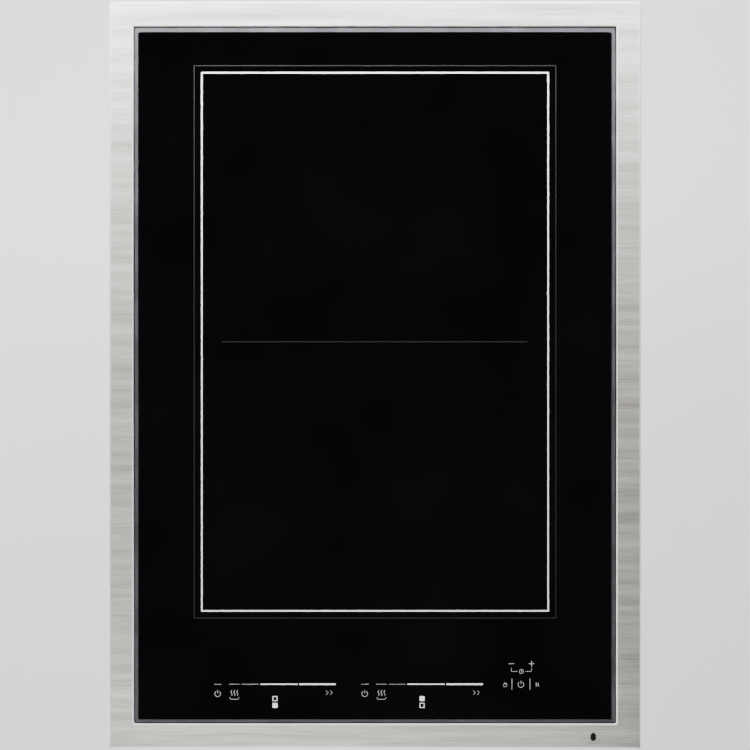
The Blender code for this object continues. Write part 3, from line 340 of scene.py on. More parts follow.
litz = wound_wire("copper_litz_twisted", "6E3316", "C07A45", 0.5 * MM, (0, 0, math.radians(40)))
enamelled = wound_wire("copper_enamelled_wound", "7A3A18", "D0803E", 0.8 * MM, (0, math.radians(90), 0))
print("wire finishes ready")

# %% [markdown]
# A circuit board is glass fibre under a green solder mask. The copper tracks lift the mask a
# little and show through it lighter. Square Voronoi cells look like tracks that run
# straight and turn at right angles.

# %% Circuit board
TRACK_PITCH = 5 * MM


def solder_mask():
    material, tree, shader = new_material("laminate_solder_masked", "1E5C36", 0.35, IOR=1.55)
    space = pattern_space(tree, (TRACK_PITCH,) * 3)
    settings = {"feature": "DISTANCE_TO_EDGE"}
    tracks = add_node(tree, "TexVoronoi", settings, Vector=space, Scale=1.0, Randomness=0.75)
    edge = tracks.outputs["Distance"]
    vary_colour(tree, shader, edge, [(0.03, "2F7A48"), (0.07, "174A2A"), (0.3, "1B5230")])
    use_bump(tree, shader, edge, 0.2, 0.03 * MM)
    return material


board_green = solder_mask()
print("tracks about", round(TRACK_PITCH / MM), "mm apart")

# %% [markdown]
# Mica paper is pressed from flakes, so it shimmers in patches. The flat cable has one stripe
# for each conductor, 1.27 mm apart.

# %% Mica and flat cable
def pressed_mica():
    material, tree, shader = new_material("mica_pressed", "B6A682", 0.45)
    flakes = add_node(tree, "TexVoronoi", Vector=pattern_space(tree, (3 * MM,) * 3), Scale=1.0)
    shimmer = add_node(tree, "SeparateXYZ", Vector=flakes.outputs["Color"]).outputs["X"]
    vary_colour(tree, shader, shimmer, [(0.0, "8E7D5A"), (1.0, "A8976F")])
    vary_roughness(tree, shader, shimmer, 0.3, 0.6)
    use_bump(tree, shader, shimmer, 0.2, 0.02 * MM)
    return material


def flat_cable():
    material, tree, shader = new_material("pvc_flat_cable", "A6A9AD", 0.5, IOR=1.53)
    space = pattern_space(tree, (1.27 * MM,) * 3)
    stripes = add_node(tree, "TexWave", {"bands_direction": "X"}, Vector=space, Scale=0.3183)
    vary_colour(tree, shader, stripes.outputs["Fac"], [(0.2, "7E8186"), (0.6, "B9BCC0")])
    use_bump(tree, shader, stripes.outputs["Fac"], 0.6, 0.2 * MM)
    return material


mica = pressed_mica()
ribbon = flat_cable()
print("mica and cable ready")

# %% [markdown]
# Each part of the solid model now takes its finish. Parts that a later cell replaces with a
# finer piece are given one too, because the model keeps them.

# %% Give each part its finish
FINISHES = {
    "trim_frame": stainless, "glass_top": black_glass, "glass_sealant": silicone,
    "worktop_gasket": foam, "burner_box": galvanised, "frame_bracket": galvanised,
    "clamp_bracket": galvanised, "box_screw": plated_steel, "clamp_bracket_screw": plated_steel,
    "clamp_screw": plated_steel, "clamp_pad": rubber, "conduit_bushing": black_nylon,
    "terminal_block": white_nylon, "terminal_cover": black_nylon, "coil_plate": rolled_aluminium,
    "coil_carrier": black_nylon, "coil_winding": litz, "mica_sheet": mica, "ferrite_bar": ferrite,
    "coil_spring": spring_wire, "temperature_sensor": fired_clay, "power_board": board_green,
    "heat_sink": extruded_aluminium, "dc_link_capacitor": case_epoxy, "filter_board": board_green,
    "filter_choke": enamelled, "fan_housing": black_nylon, "fan_cover": black_nylon,
    "fan_motor": plated_steel, "fan_impeller": black_nylon, "touch_carrier": black_nylon,
    "touch_board": board_green, "display_module": diffuser, "ribbon_cable": ribbon,
}
for node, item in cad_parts.items():
    kind = max((key for key in FINISHES if node.startswith(key)), key=len)
    item.data.materials.clear()
    item.data.materials.append(FINISHES[kind])
print(len(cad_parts), "parts have their finish")


# %% [markdown]
# New pieces are built with bmesh operators and placed in their mesh, so that the object stays
# at the origin. One function turns a finished bmesh into a piece that moves with a body.

# %% Pieces
WELD = 0.001 * MM  # points closer than this are one


def make_piece(name, bm, material, body="housing", smooth_below=35):
    bmesh.ops.recalc_face_normals(bm, faces=bm.faces)
    mesh = bpy.data.meshes.new(name)
    bm.to_mesh(mesh)
    bm.free()
    mesh.shade_smooth()
    mesh.set_sharp_from_angle(angle=math.radians(smooth_below))
    mesh.materials.append(material)
    piece = bpy.data.objects.new(name, mesh)
    bpy.context.scene.collection.objects.link(piece)
    if body:
        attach(piece, body)
    return piece


def add_bar(bm, low, high, round_edge=0.0, segments=1):
    """A box between two corners, its edges rounded if asked."""
    low, high = Vector(low), Vector(high)
    verts = bmesh.ops.create_cube(bm, size=1.0)["verts"]
    bmesh.ops.scale(bm, vec=high - low, verts=verts)
    bmesh.ops.translate(bm, vec=(low + high) / 2, verts=verts)
    if round_edge:
        edges = list({edge for vert in verts for edge in vert.link_edges})
        bmesh.ops.bevel(
            bm, geom=edges, offset=round_edge, segments=segments, profile=0.5, affect="EDGES", material=-1
        )


def add_block(bm, middle, half, heights, round_edge=0.0, segments=1):
    """A box round a middle point, in millimetres: (x, y), its half sides and its heights."""
    low = [(middle[i] - half[i]) * MM for i in (0, 1)] + [heights[0] * MM]
    high = [(middle[i] + half[i]) * MM for i in (0, 1)] + [heights[1] * MM]
    add_bar(bm, low, high, round_edge, segments)


def add_turned(bm, profile, place, steps=24):
    """Spins a profile of (radius, height), from axis to axis, round a vertical line."""
    verts = [bm.verts.new((place[0] + out, place[1], place[2] + height)) for out, height in profile]
    edges = [bm.edges.new(pair) for pair in zip(verts, verts[1:])]
    bmesh.ops.spin(
        bm, geom=verts + edges, cent=place, axis=(0, 0, 1), angle=math.tau, steps=steps, use_merge=True
    )
    bmesh.ops.remove_doubles(bm, verts=bm.verts, dist=WELD)


def in_metres(points):
    """A profile or a path that was given in millimetres."""
    return [tuple(value * MM for value in point) for point in points]


def thicken(bm, height):
    """Pulls every flat face up into a slab."""
    made = bmesh.ops.extrude_face_region(bm, geom=bm.faces[:])
    raised = [item for item in made["geom"] if isinstance(item, bmesh.types.BMVert)]
    bmesh.ops.translate(bm, verts=raised, vec=(0, 0, height))


def merge(bm, other):
    """Adds a second bmesh to the first, and uses it up."""
    mesh = bpy.data.meshes.new("merged")
    other.to_mesh(mesh)
    other.free()
    bm.from_mesh(mesh)
    bpy.data.meshes.remove(mesh)


print("piece helpers ready")

# %% [markdown]
# The graphics are ceramic enamel, screen printed and fired onto the glass, so they are real
# layers, only hundredths of a millimetre thick. Straight lines and squares are cut from thin
# bars. The main lines are white, the key symbols grey, and the faint lines a smoke that is hardly
# lighter than the glass. Fired enamel isn't perfectly even: the screen leaves fine dots.

# %% Enamel
PRINT_THICKNESS = 0.03 * MM
PRINT_SUNK = 0.01 * MM  # into the glass, where the enamel has fused with it
SCREEN_DOT = 0.25 * MM


def enamel(name, dark, light):
    material, tree, shader = new_material(name, light, 0.35, IOR=1.52)
    dots = noise(tree, (SCREEN_DOT,) * 3, 1.0)
    vary_colour(tree, shader, dots, [(0.3, dark), (0.7, light)])
    use_bump(tree, shader, dots, 0.2, 0.005 * MM)
    return material


white_enamel = enamel("enamel_white_fired", "E4E5EA", "FAFBFF")
grey_enamel = enamel("enamel_grey_fired", "98989B", "AAAAAD")
dim_enamel = enamel("enamel_smoke_fired", "1C1C1D", "2A2A2C")
print_low = glass_high.z - PRINT_SUNK
print_high = glass_high.z + PRINT_THICKNESS


def print_bars(name, bars, material):
    """A piece of flat bars, from (left, front, right, rear)."""
    bm = bmesh.new()
    for left, front, right, rear in bars:
        add_bar(bm, (left, front, print_low), (right, rear, print_high))
    return make_piece(name, bm, material)


def print_outline(name, box, width, material):
    """A rectangular line with sharp corners. Its outer edge is the box."""
    left, front, right, rear = box
    bm = bmesh.new()
    corners = [(left, front), (right, front), (right, rear), (left, rear)]
    face = bm.faces.new([bm.verts.new((x, y, print_low)) for x, y in corners])
    face.normal_update()
    bmesh.ops.inset_individual(bm, faces=[face], thickness=width, use_even_offset=True)
    bmesh.ops.delete(bm, geom=[face], context="FACES_ONLY")
    thicken(bm, print_high - print_low)
    return make_piece(name, bm, material)


print("enamel is", round(PRINT_THICKNESS / MM, 3), "mm thick")

# %% [markdown]
# The bright rectangle marks where pans go: two zones that can be joined into one. A dim
# second line runs round it, and a dim line parts the two zones.

# %% Zone lines
ZONE_SIDE = 45.4 * MM  # glass's edge to the bright line
ZONE_REAR = 28.7 * MM
ZONE_FRONT = 78.1 * MM
ZONE_LINE = 1.1 * MM
DIM_LINE = 0.6 * MM
DIM_OUT = (5.3 * MM, 4.9 * MM)  # bright line to dim line, at the sides and at the ends
DIVIDER_REACH = 110.2 * MM
DIVIDER_BACK = 195.1 * MM  # bright rear line to the divider

zone = (
    glass_low.x + ZONE_SIDE, glass_low.y + ZONE_FRONT,
    glass_high.x - ZONE_SIDE, glass_high.y - ZONE_REAR,
)
dim_zone = (zone[0] - DIM_OUT[0], zone[1] - DIM_OUT[1], zone[2] + DIM_OUT[0], zone[3] + DIM_OUT[1])
print_outline("zone_outline", zone, ZONE_LINE, white_enamel)
print_outline("zone_outer_line", dim_zone, DIM_LINE, dim_enamel)
divider = zone[3] - DIVIDER_BACK
print_bars("zone_divider", [(-DIVIDER_REACH, divider, DIVIDER_REACH, divider + DIM_LINE)], dim_enamel)
print("zone", round((zone[2] - zone[0]) / MM, 1), "by", round((zone[3] - zone[1]) / MM, 1), "mm")

# %% [markdown]
# Each zone has a slider of five bars that get longer and thicker towards full power. All
# heights on the control strip are measured from the glass's front edge.

# %% Sliders
SLIDER_UP = 25.7 * MM  # front edge of the glass to the middle of the bars
SLIDER_LEFT = -116.2 * MM
SLIDER_PITCH = 106.2 * MM
SLIDER_BARS = [  # start, end and thickness, in millimetres
    (0.1, 5.4, 0.3), (10.9, 18.4, 0.3), (20.1, 32.1, 0.3), (33.5, 60.3, 0.8), (61.6, 87.8, 1.15),
]
LOW_BARS = 3  # off, keep warm and low power, which are grey
strip = glass_low.y
slider_starts = {"left": SLIDER_LEFT, "right": SLIDER_LEFT + SLIDER_PITCH}
for side, start in slider_starts.items():
    bars = []
    for near, far, thick in SLIDER_BARS:
        low = strip + SLIDER_UP - thick * MM / 2
        bars.append((start + near * MM, low, start + far * MM, low + thick * MM))
    print_bars(f"slider_low_{side}", bars[:LOW_BARS], grey_enamel)
    print_bars(f"slider_{side}", bars[LOW_BARS:], white_enamel)
print("sliders at", [round(x / MM, 1) for x in slider_starts.values()])

# %% [markdown]
# Under each slider, two small squares show which zone it drives: the filled one. They lie
# one behind the other, as the zones do.

# %% Zone marks
MARK_SIZE = 3.5 * MM
MARK_LINE = 0.45 * MM
MARK_UP = {"rear": 15.3 * MM, "front": 10.4 * MM}
MARK_ALONG = 44.0 * MM  # slider's start to the marks
for side, filled in (("left", "front"), ("right", "rear")):
    x = slider_starts[side] + MARK_ALONG
    for end, up in MARK_UP.items():
        half = MARK_SIZE / 2
        box = (x - half, strip + up - half, x + half, strip + up + half)
        if end == filled:
            print_bars(f"zone_mark_{side}_{end}", [box], white_enamel)
        else:
            print_outline(f"zone_mark_{side}_{end}", box, MARK_LINE, white_enamel)
print("zone marks", round(MARK_SIZE / MM, 1), "mm")

# %% [markdown]
# The keys have plain line icons. An icon is a set of strokes. A curve with a round bevel gives
# each stroke its width and its round ends, and the mesh made from it is then squeezed flat.

# %% Icons
ICON_LINE = 0.36 * MM
CHORDS = 20  # straight pieces in a full circle


def print_strokes(name, strokes, place, width=ICON_LINE):
    """A printed icon from strokes of (x, y) points in millimetres round its middle."""
    curve = bpy.data.curves.new(name, "CURVE")
    curve.dimensions = "3D"
    curve.bevel_depth = width / 2
    curve.bevel_resolution = 1
    curve.use_fill_caps = True
    for stroke in strokes:
        spline = curve.splines.new("POLY")
        spline.points.add(len(stroke) - 1)
        for point, (x, y) in zip(spline.points, stroke):
            point.co = (x * MM, y * MM, 0, 1)
    shape = bpy.data.objects.new(name, curve)
    mesh = bpy.data.meshes.new_from_object(shape)
    bpy.data.objects.remove(shape)
    bm = bmesh.new()
    bm.from_mesh(mesh)
    bpy.data.meshes.remove(mesh)
    bmesh.ops.remove_doubles(bm, verts=bm.verts, dist=0.002 * MM)
    bmesh.ops.scale(bm, vec=(1, 1, 2 * PRINT_THICKNESS / width), verts=bm.verts)
    bmesh.ops.translate(bm, vec=(place[0], strip + place[1], glass_high.z), verts=bm.verts)
    return make_piece(name, bm, grey_enamel)


def arc(middle, radius, start, end):
    steps = max(2, round(abs(end - start) / 360 * CHORDS))
    turns = [math.radians(start + (end - start) * step / steps) for step in range(steps + 1)]
    return [(middle[0] + radius * math.cos(t), middle[1] + radius * math.sin(t)) for t in turns]


power_icon = [arc((0, 0), 2.1, 125, 415), [(0, 0.3), (0, 2.7)]]
warm_icon = [[(-3.4, -2.5), (-2.6, -4.0), (2.6, -4.0), (3.4, -2.5)]]
for x in (-2.1, 0, 2.1):
    warm_icon.append([(x + 0.45 * math.sin(step * 0.9), -1.4 + step * 0.5) for step in range(9)])
boost_icon = [[(x - 0.9, 1.5), (x + 0.7, 0), (x - 0.9, -1.5)] for x in (-1.8, 1.2)]
clock_icon = [arc((0, 0), 1.5, 0, 360), [(0, 0.9), (0, 0), (0.7, -0.3)]]
lock_icon = [
    [(-1.2, -1.6), (1.2, -1.6), (1.2, 0.3), (-1.2, 0.3), (-1.2, -1.6)], arc((0, 0.3), 0.8, 0, 180),
]
pause_icon = [[(-0.7, -1.3), (-0.7, 1.3)], [(0.7, -1.3), (0.7, 1.3)]]
minus_icon = [[(-2, 0), (2, 0)]]
plus_icon = minus_icon + [[(0, -2), (0, 2)]]
print("icons drawn with a", round(ICON_LINE / MM, 2), "mm line")

# %% [markdown]
# The icons stand where the words stand on such a control strip: under each slider for its zone,
# and at the right end for the timer, the child lock, the main switch and the pause key.

# %% Print the icons
UNDER_SLIDER = 18.8 * MM
for side, start in slider_starts.items():
    print_strokes(f"power_icon_{side}", power_icon, (start + 2.6 * MM, UNDER_SLIDER))
    print_strokes(f"keep_warm_icon_{side}", warm_icon, (start + 14.7 * MM, UNDER_SLIDER))
    print_strokes(f"boost_icon_{side}", boost_icon, (start + 83.6 * MM, 19.6 * MM))

KEYS_UP = 40.5 * MM
MINUS_X = 98.5 * MM
PLUS_X = 113.0 * MM
print_strokes("timer_minus", minus_icon, (MINUS_X, KEYS_UP), 0.5 * MM)
print_strokes("timer_plus", plus_icon, (PLUS_X, KEYS_UP), 0.5 * MM)
CLOCK_UP = 34.9 * MM
timer_middle = (MINUS_X + PLUS_X) / 2
reach = (PLUS_X - MINUS_X) / 2 / MM
bracket = [[(-reach, 2.6), (-reach, 0), (-3, 0)], [(3, 0), (reach, 0), (reach, 2.6)]]
print_strokes("timer_bracket", bracket, (timer_middle, CLOCK_UP), 0.35 * MM)
print_strokes("timer_icon", clock_icon, (timer_middle, CLOCK_UP))

LOWER_KEYS_UP = 25.5 * MM
SEPARATOR_HALF = 0.22  # half a line's width, in millimetres
print_strokes("lock_icon", lock_icon, (94.0 * MM, LOWER_KEYS_UP))
print_strokes("all_off_icon", power_icon, (105.4 * MM, LOWER_KEYS_UP))
print_strokes("pause_icon", pause_icon, (117.2 * MM, LOWER_KEYS_UP), 0.6 * MM)
separators = []
for x in (98.9, 111.9):
    left, right = ((x + side * SEPARATOR_HALF) * MM for side in (-1, 1))
    separators.append((left, strip + 21.8 * MM, right, strip + 29.7 * MM))
print_bars("key_separators", separators, grey_enamel)
print("keys printed", round(LOWER_KEYS_UP / MM, 1), "and", round(KEYS_UP / MM, 1), "mm up the strip")

# %% [markdown]
# A small plain badge sits on the frame near the front right corner: a black enamelled
# lozenge, with a rounded edge, stuck to the steel.

# %% Badge
BADGE_SIZE = (4.6 * MM, 6.6 * MM)
BADGE_THICKNESS = 0.4 * MM
BADGE_PLACE = (34.4 * MM, 8.2 * MM)  # from the frame's right and front edges

badge_paint = cast_surface("badge_enamelled_black", "0C0C0D", "151517", 0.3, 0.4, 0.005)
centre = (frame_high.x - BADGE_PLACE[0], frame_low.y + BADGE_PLACE[1], frame_high.z)
bm = bmesh.new()
bmesh.ops.create_circle(bm, cap_ends=True, cap_tris=False, segments=6, radius=0.5)
bmesh.ops.scale(bm, vec=(BADGE_SIZE[0], BADGE_SIZE[1], 1), verts=bm.verts)
thicken(bm, BADGE_THICKNESS)
bmesh.ops.translate(bm, verts=bm.verts, vec=centre)
upper = [edge for edge in bm.edges if all(vert.co.z > centre[2] + BADGE_THICKNESS / 2 for vert in edge.verts)]
bmesh.ops.bevel(bm, geom=upper, offset=0.12 * MM, segments=2, profile=0.5, affect="EDGES", material=-1)
make_piece("frame_badge", bm, badge_paint)
print("badge at", [round(v / MM, 1) for v in centre])

# %% [markdown]
# Screw heads need a recess, and later pieces need holes and slots. A Boolean cuts them once,
# when the piece is made, and its tool is thrown away.

# %% Cuts and threads
def cut(bm, tool):
    """The bmesh with the tool's volume taken out. Both are used up."""
    objects = []
    for part in (bm, tool):
        bmesh.ops.recalc_face_normals(part, faces=part.faces)
        mesh = bpy.data.meshes.new("cut")
        part.to_mesh(mesh)
        part.free()
        objects.append(bpy.data.objects.new("cut", mesh))
        bpy.context.scene.collection.objects.link(objects[-1])
    modifier = objects[0].modifiers.new("cut", "BOOLEAN")
    modifier.object = objects[1]
    modifier.operation = "DIFFERENCE"
    modifier.solver = "EXACT"
    result = bmesh.new()
    result.from_object(objects[0], bpy.context.evaluated_depsgraph_get())
    for item in objects:
        mesh = item.data
        bpy.data.objects.remove(item)
        bpy.data.meshes.remove(mesh)
    return result


def add_thread(bm, radius, depth, pitch, start, end, steps=16):
    """A helical ridge round the Z axis. Its ends are closed."""
    corners = [(radius - depth, -0.42), (radius, -0.06), (radius, 0.06), (radius - depth, 0.42)]
    verts = [bm.verts.new((x, 0, start + z * pitch)) for x, z in corners]
    face = bm.faces.new(verts)
    turns = round((end - start) / pitch - 1)
    bmesh.ops.spin(
        bm, geom=[face], cent=(0, 0, 0), axis=(0, 0, 1), dvec=(0, 0, pitch / steps),
        angle=math.tau * turns, steps=steps * turns, use_duplicate=False, use_merge=False,
    )


print("cut and thread helpers ready")

# %% [markdown]
# Pan-head screws hold the frame's brackets and the clamps. A real one is cold-headed wire: a
# low domed head with a cross recess, and a rolled thread. The head is a turned profile, and
# the recess is cut with two crossed bars that narrow downwards.

# %% Pan-head screws
PAN_PITCH = 1.4 * MM
HEAD_HEIGHT = 2.4 * MM
RECESS_DEPTH = 1.6 * MM
THREAD_DEPTH = 0.35 * MM


def pan_screw(name, node):
    low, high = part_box(node)
    outward = 1 if low.x > 0 else -1
    radius = (high.z - low.z) / 2
    length = high.x - low.x - HEAD_HEIGHT
    shank = radius / 2
    core = shank - THREAD_DEPTH
    profile = [
        (0, -length), (core * 0.4, -length), (core, -length + shank), (core, 0), (radius, 0),
        (radius, 0.7 * MM), (radius * 0.93, 1.4 * MM), (radius * 0.72, 2.05 * MM),
        (radius * 0.4, HEAD_HEIGHT), (0, HEAD_HEIGHT),
    ]
    bm = bmesh.new()
    add_turned(bm, profile, (0, 0, 0), 32)
    for width, depth in ((radius * 0.55, 0.45 * MM), (0.45 * MM, radius * 0.55)):
        tool = bmesh.new()
        verts = bmesh.ops.create_cube(tool, size=1.0)["verts"]
        for vert in verts:
            narrow = 1.0 if vert.co.z > 0 else 0.55
            vert.co.x *= 2 * width * narrow
            vert.co.y *= 2 * depth * narrow
            vert.co.z = HEAD_HEIGHT + (vert.co.z - 0.5) * RECESS_DEPTH + 0.1 * MM
        bm = cut(bm, tool)
    add_thread(bm, shank, THREAD_DEPTH * 1.2, PAN_PITCH, -length + shank, -0.4 * MM)
    head_x = (high.x if outward > 0 else low.x) - outward * HEAD_HEIGHT
    turn = Matrix.Rotation(outward * math.radians(90), 4, "Y")
    place = Matrix.Translation((head_x, (low.y + high.y) / 2, (low.z + high.z) / 2))
    bmesh.ops.transform(bm, matrix=place @ turn, verts=bm.verts)
    piece = make_piece(name, bm, plated_steel)
    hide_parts(node)


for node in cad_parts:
    if node.startswith(("box_screw", "clamp_bracket_screw")):
        pan_screw(f"{node}_pan_head", node)
print("pan-head screws", round(HEAD_HEIGHT / MM, 1), "mm high")

# %% [markdown]
# The clamp screws turn in threaded brackets and push a rubber pad up under the worktop. Each
# has a hexagon head with a washer face, and a fine thread of 0.8 mm a turn, which is what
# couples its turn to its lift. The pad has grip ribs round it and rings on top.

# %% Clamp screws and pads
CLAMP_PITCH = 0.8 * MM
CLAMP_SHANK = 3.0 * MM
for side in ("left", "right"):
    low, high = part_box(f"clamp_screw_{side}")
    x = (low.x + high.x) / 2
    across = (high.y - low.y) / 2
    shank = CLAMP_SHANK
    core = shank - 0.4 * MM
    length = high.z - low.z
    bm = bmesh.new()
    profile = [
        (0, 0), (across * 0.88, 0), (across, 0.5 * MM), (across, 4 * MM), (across * 0.9, 4 * MM),
        (across * 0.9, 4.5 * MM), (core, 4.5 * MM), (core, length - MM),
        (shank - 1.2 * MM, length), (0, length),
    ]
    add_turned(bm, profile, (0, 0, 0), 48)
    for vert in bm.verts:  # press the head into a hexagon, above its washer face
        if vert.co.z < 4.2 * MM and vert.co.xy.length > across * 0.87:
            turn = math.atan2(vert.co.y, vert.co.x) % math.radians(60) - math.radians(30)
            vert.co.xy *= math.cos(math.radians(30)) / math.cos(turn)
    add_thread(bm, shank, 0.45 * MM, CLAMP_PITCH, 5 * MM, length - 1.2 * MM)
    bmesh.ops.translate(bm, vec=(x, 0, low.z), verts=bm.verts)
    piece = make_piece(f"clamp_screw_{side}_threaded", bm, plated_steel, f"{side}_clamp_screw", 30)
    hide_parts(f"clamp_screw_{side}")

    low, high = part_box(f"clamp_pad_{side}")
    tall = (high.z - low.z) / MM
    radius = (high.x - low.x) / 2 / MM
    profile = [
        (0, 2), (3.6, 2), (3.6, 0), (radius - 0.4, 0), (radius, 0.4), (radius, 1.2), (radius - 0.5, 1.5),
        (radius - 0.5, 2.3), (radius, 2.6), (radius, tall - 0.8), (radius - 0.8, tall),
    ]
    for ring in (4.4, 2.8, 1.2):
        profile += [(ring, tall), (ring - 0.3, tall - 0.4), (ring - 0.8, tall - 0.4), (ring - 1.1, tall)]
    bm = bmesh.new()
    add_turned(bm, in_metres(profile + [(0, tall)]), (x, 0, low.z), 40)
    piece = make_piece(f"clamp_pad_{side}_ribbed", bm, rubber, f"{side}_clamp_pad")
    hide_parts(f"clamp_pad_{side}")
print("clamp thread", round(CLAMP_PITCH / MM, 1), "mm a turn")

# %% [markdown]
# The burner box is folded sheet, closed at its corners by spot welds and rivets. A weld leaves a
# shallow round dent with a raised rim, and a blind rivet a low dome with a hole where its pin
# broke off. A blank foil plate stands where a real box carries its ratings.

# %% Rivets, welds and plates on the box
def add_button(bm, profile, place, outward, steps=20):
    """A small turned piece on a wall. Its profile's heights point outwards."""
    button = bmesh.new()
    add_turned(button, profile, (0, 0, 0), steps)
    turn = Vector((0, 0, 1)).rotation_difference(Vector(outward)).to_matrix().to_4x4()
    bmesh.ops.transform(button, matrix=Matrix.Translation(place) @ turn, verts=button.verts)
    merge(bm, button)


rivet = in_metres(
    [(0, -0.5), (2.6, -0.5), (2.6, 0.15), (2.1, 0.7), (1.2, 1.05), (0.75, 1.1), (0.7, 0.3), (0, 0.3)]
)
weld = in_metres(
    [(0, -0.3), (2.4, -0.3), (2.4, 0.02), (1.9, 0.12), (1.6, 0.05), (0.8, 0.03), (0, 0.03)]
)
wall_x = 168.0 * MM  # the box's side walls
wall_y = 245.5 * MM  # its front and rear walls
rivets = bmesh.new()
welds = bmesh.new()
for side in (-1, 1):
    for z in (14 * MM, 44 * MM):
        for y in (-wall_y + 9 * MM, wall_y - 9 * MM):
            add_button(rivets, rivet, (side * wall_x, y, z), (side, 0, 0))
    for step in range(9):
        y = -wall_y + 26 * MM + step * 55 * MM
        add_button(welds, weld, (side * wall_x, y, 5 * MM), (side, 0, 0))
    for step in range(6):
        x = -wall_x + 33 * MM + step * 54 * MM
        add_button(welds, weld, (x, side * wall_y, 54 * MM), (0, side, 0))
make_piece("box_rivets", rivets, rolled_aluminium)
make_piece("box_spot_welds", welds, galvanised)

foil = drawn_metal("foil_anodised_blank", "C2C4C6", "D8DADB", 0.45, (0.5, 20, 20), 0.01)
bm = bmesh.new()
add_bar(bm, (40 * MM, -190 * MM, -0.12 * MM), (120 * MM, -145 * MM, 0.05 * MM), 0.04 * MM)
make_piece("rating_plate_blank", bm, foil)
bm = bmesh.new()
for x in (-110 * MM, 60 * MM):
    add_bar(bm, (x, 110 * MM, -0.5 * MM), (x + 8 * MM, 215 * MM, 0.3 * MM), 0.35 * MM, 3)
make_piece("box_floor_beads", bm, galvanised)
print("box fittings on walls at", round(wall_x / MM), "and", round(wall_y / MM), "mm")

# %% [markdown]
# ## Inside the box
# The windings are flat spirals of litz cable. A cable is a few strands twisted together, so its
# section is a rosette that turns as it goes. The path is a rounded rectangle that shrinks by one
# cable's width on each turn, and the section is carried along it.

# %% Litz windings
TURNS = 15
WINDING_WIDTH = 54 * MM  # from its outer edge to its eye
OUTER_CORNER = 64 * MM
INNER_CORNER = 9 * MM
STRANDS = 5
LAY = 22 * MM  # along the cable for one twist
RING_POINTS = 10
STEP = 3.4 * MM


def rounded_point(half_x, half_y, corner, share):
    """A point and its outward direction, this share of the way round a rounded rectangle."""
    lengths = [2 * (half_y - corner), corner * math.pi / 2, 2 * (half_x - corner), corner * math.pi / 2]
    along = share % 1.0 * 2 * sum(lengths)
    flip = 1 if along < sum(lengths) else -1
    along %= sum(lengths)
    if along < lengths[0]:
        return Vector((half_x, along - half_y + corner)) * flip, Vector((1, 0)) * flip
    along -= lengths[0]
    if along < lengths[1]:
        out = Vector((math.cos(along / corner), math.sin(along / corner)))
        return (Vector((half_x - corner, half_y - corner)) + out * corner) * flip, out * flip
    along -= lengths[1]
    if along < lengths[2]:
        return Vector((half_x - corner - along, half_y)) * flip, Vector((0, 1)) * flip
    along -= lengths[2]
    out = Vector((-math.sin(along / corner), math.cos(along / corner)))
    return (Vector((corner - half_x, half_y - corner)) + out * corner) * flip, out * flip


def add_cable(bm, frames, half_wide, half_tall, lobes=STRANDS, lay=LAY, ring=RING_POINTS):
    """A twisted cable along (point, outward, upward) frames, with closed ends."""
    rows = []
    along = 0.0
    for index, (point, outward, upward) in enumerate(frames):
        if index:
            along += (point - frames[index - 1][0]).length
        row = []
        for step in range(ring):
            turn = math.tau * step / ring
            bulge = 1 - 0.09 * (1 + math.cos(lobes * (turn - math.tau * along / lay)))
            offset = outward * half_wide * math.cos(turn) + upward * half_tall * math.sin(turn)
            row.append(bm.verts.new(point + offset * bulge))
        rows.append(row)
    for near, far in zip(rows, rows[1:]):
        for step in range(ring):
            after = (step + 1) % ring
            bm.faces.new((near[step], near[after], far[after], far[step]))
    bm.faces.new(rows[0][::-1])
    bm.faces.new(rows[-1])


for end in ("front", "rear"):
    low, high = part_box(f"coil_winding_{end}")
    centre = (low + high) / 2
    pitch = WINDING_WIDTH / TURNS
    half_wide = pitch * 0.47  # a hair of air between one turn and the next
    half_tall = (high.z - low.z) / 2
    size = (high - low) / 2
    frames = []
    share = 0.0
    while share < TURNS - 1:
        inset = half_wide + share * pitch
        half_x, half_y = size.x - inset, size.y - inset
        corner = max(OUTER_CORNER - inset, INNER_CORNER)
        point, out = rounded_point(half_x, half_y, corner, share)
        place = Vector((centre.x + point.x, centre.y + point.y, centre.z))
        frames.append((place, out.to_3d(), Vector((0, 0, 1))))
        share += STEP / (4 * (half_x + half_y) - (8 - math.tau) * corner)
    bm = bmesh.new()
    add_cable(bm, frames, half_wide, half_tall)
    piece = make_piece(f"coil_{end}_litz_spiral", bm, litz, f"{end}_coil", 60)
    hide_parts(f"coil_winding_{end}")
    print(f"{end} winding:", len(frames), "steps,", TURNS - 1, "turns")

# %% [markdown]
# Ferrite bars under each coil send its field back up. Pressed bars have slightly rounded edges.
# The model has four bars for each coil, and six more fill the gaps between them.

# %% More ferrite bars
BAR_EDGE = 0.5 * MM
BAR_HEIGHTS = (52, 57)  # in millimetres, as the model's own bars
for end in ("front", "rear"):
    centre_y = sum(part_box(f"coil_winding_{end}")[i].y for i in (0, 1)) / 2
    bm = bmesh.new()
    spots = []
    for side in (-1, 1):
        spots += [(side * 72, 34, 29, 7.5), (side * 72, -34, 29, 7.5)]
    spots += [(28, 55, 7.5, 29), (-28, -55, 7.5, 29)]
    for x, y, half_x, half_y in spots:
        add_block(bm, (x, centre_y / MM + y), (half_x, half_y), BAR_HEIGHTS, BAR_EDGE, 2)
    make_piece(f"ferrite_bars_{end}_more", bm, ferrite, f"{end}_coil")
print("ferrite bars: 10 for each coil")

# %% [markdown]
# The power board carries what a two-coil inverter needs. Power transistors are clamped to the
# heat sink, film capacitors resonate with the coils, and a controller with its small parts
# drives them. Each kind of part is one piece. Leads and pads are tinned copper.

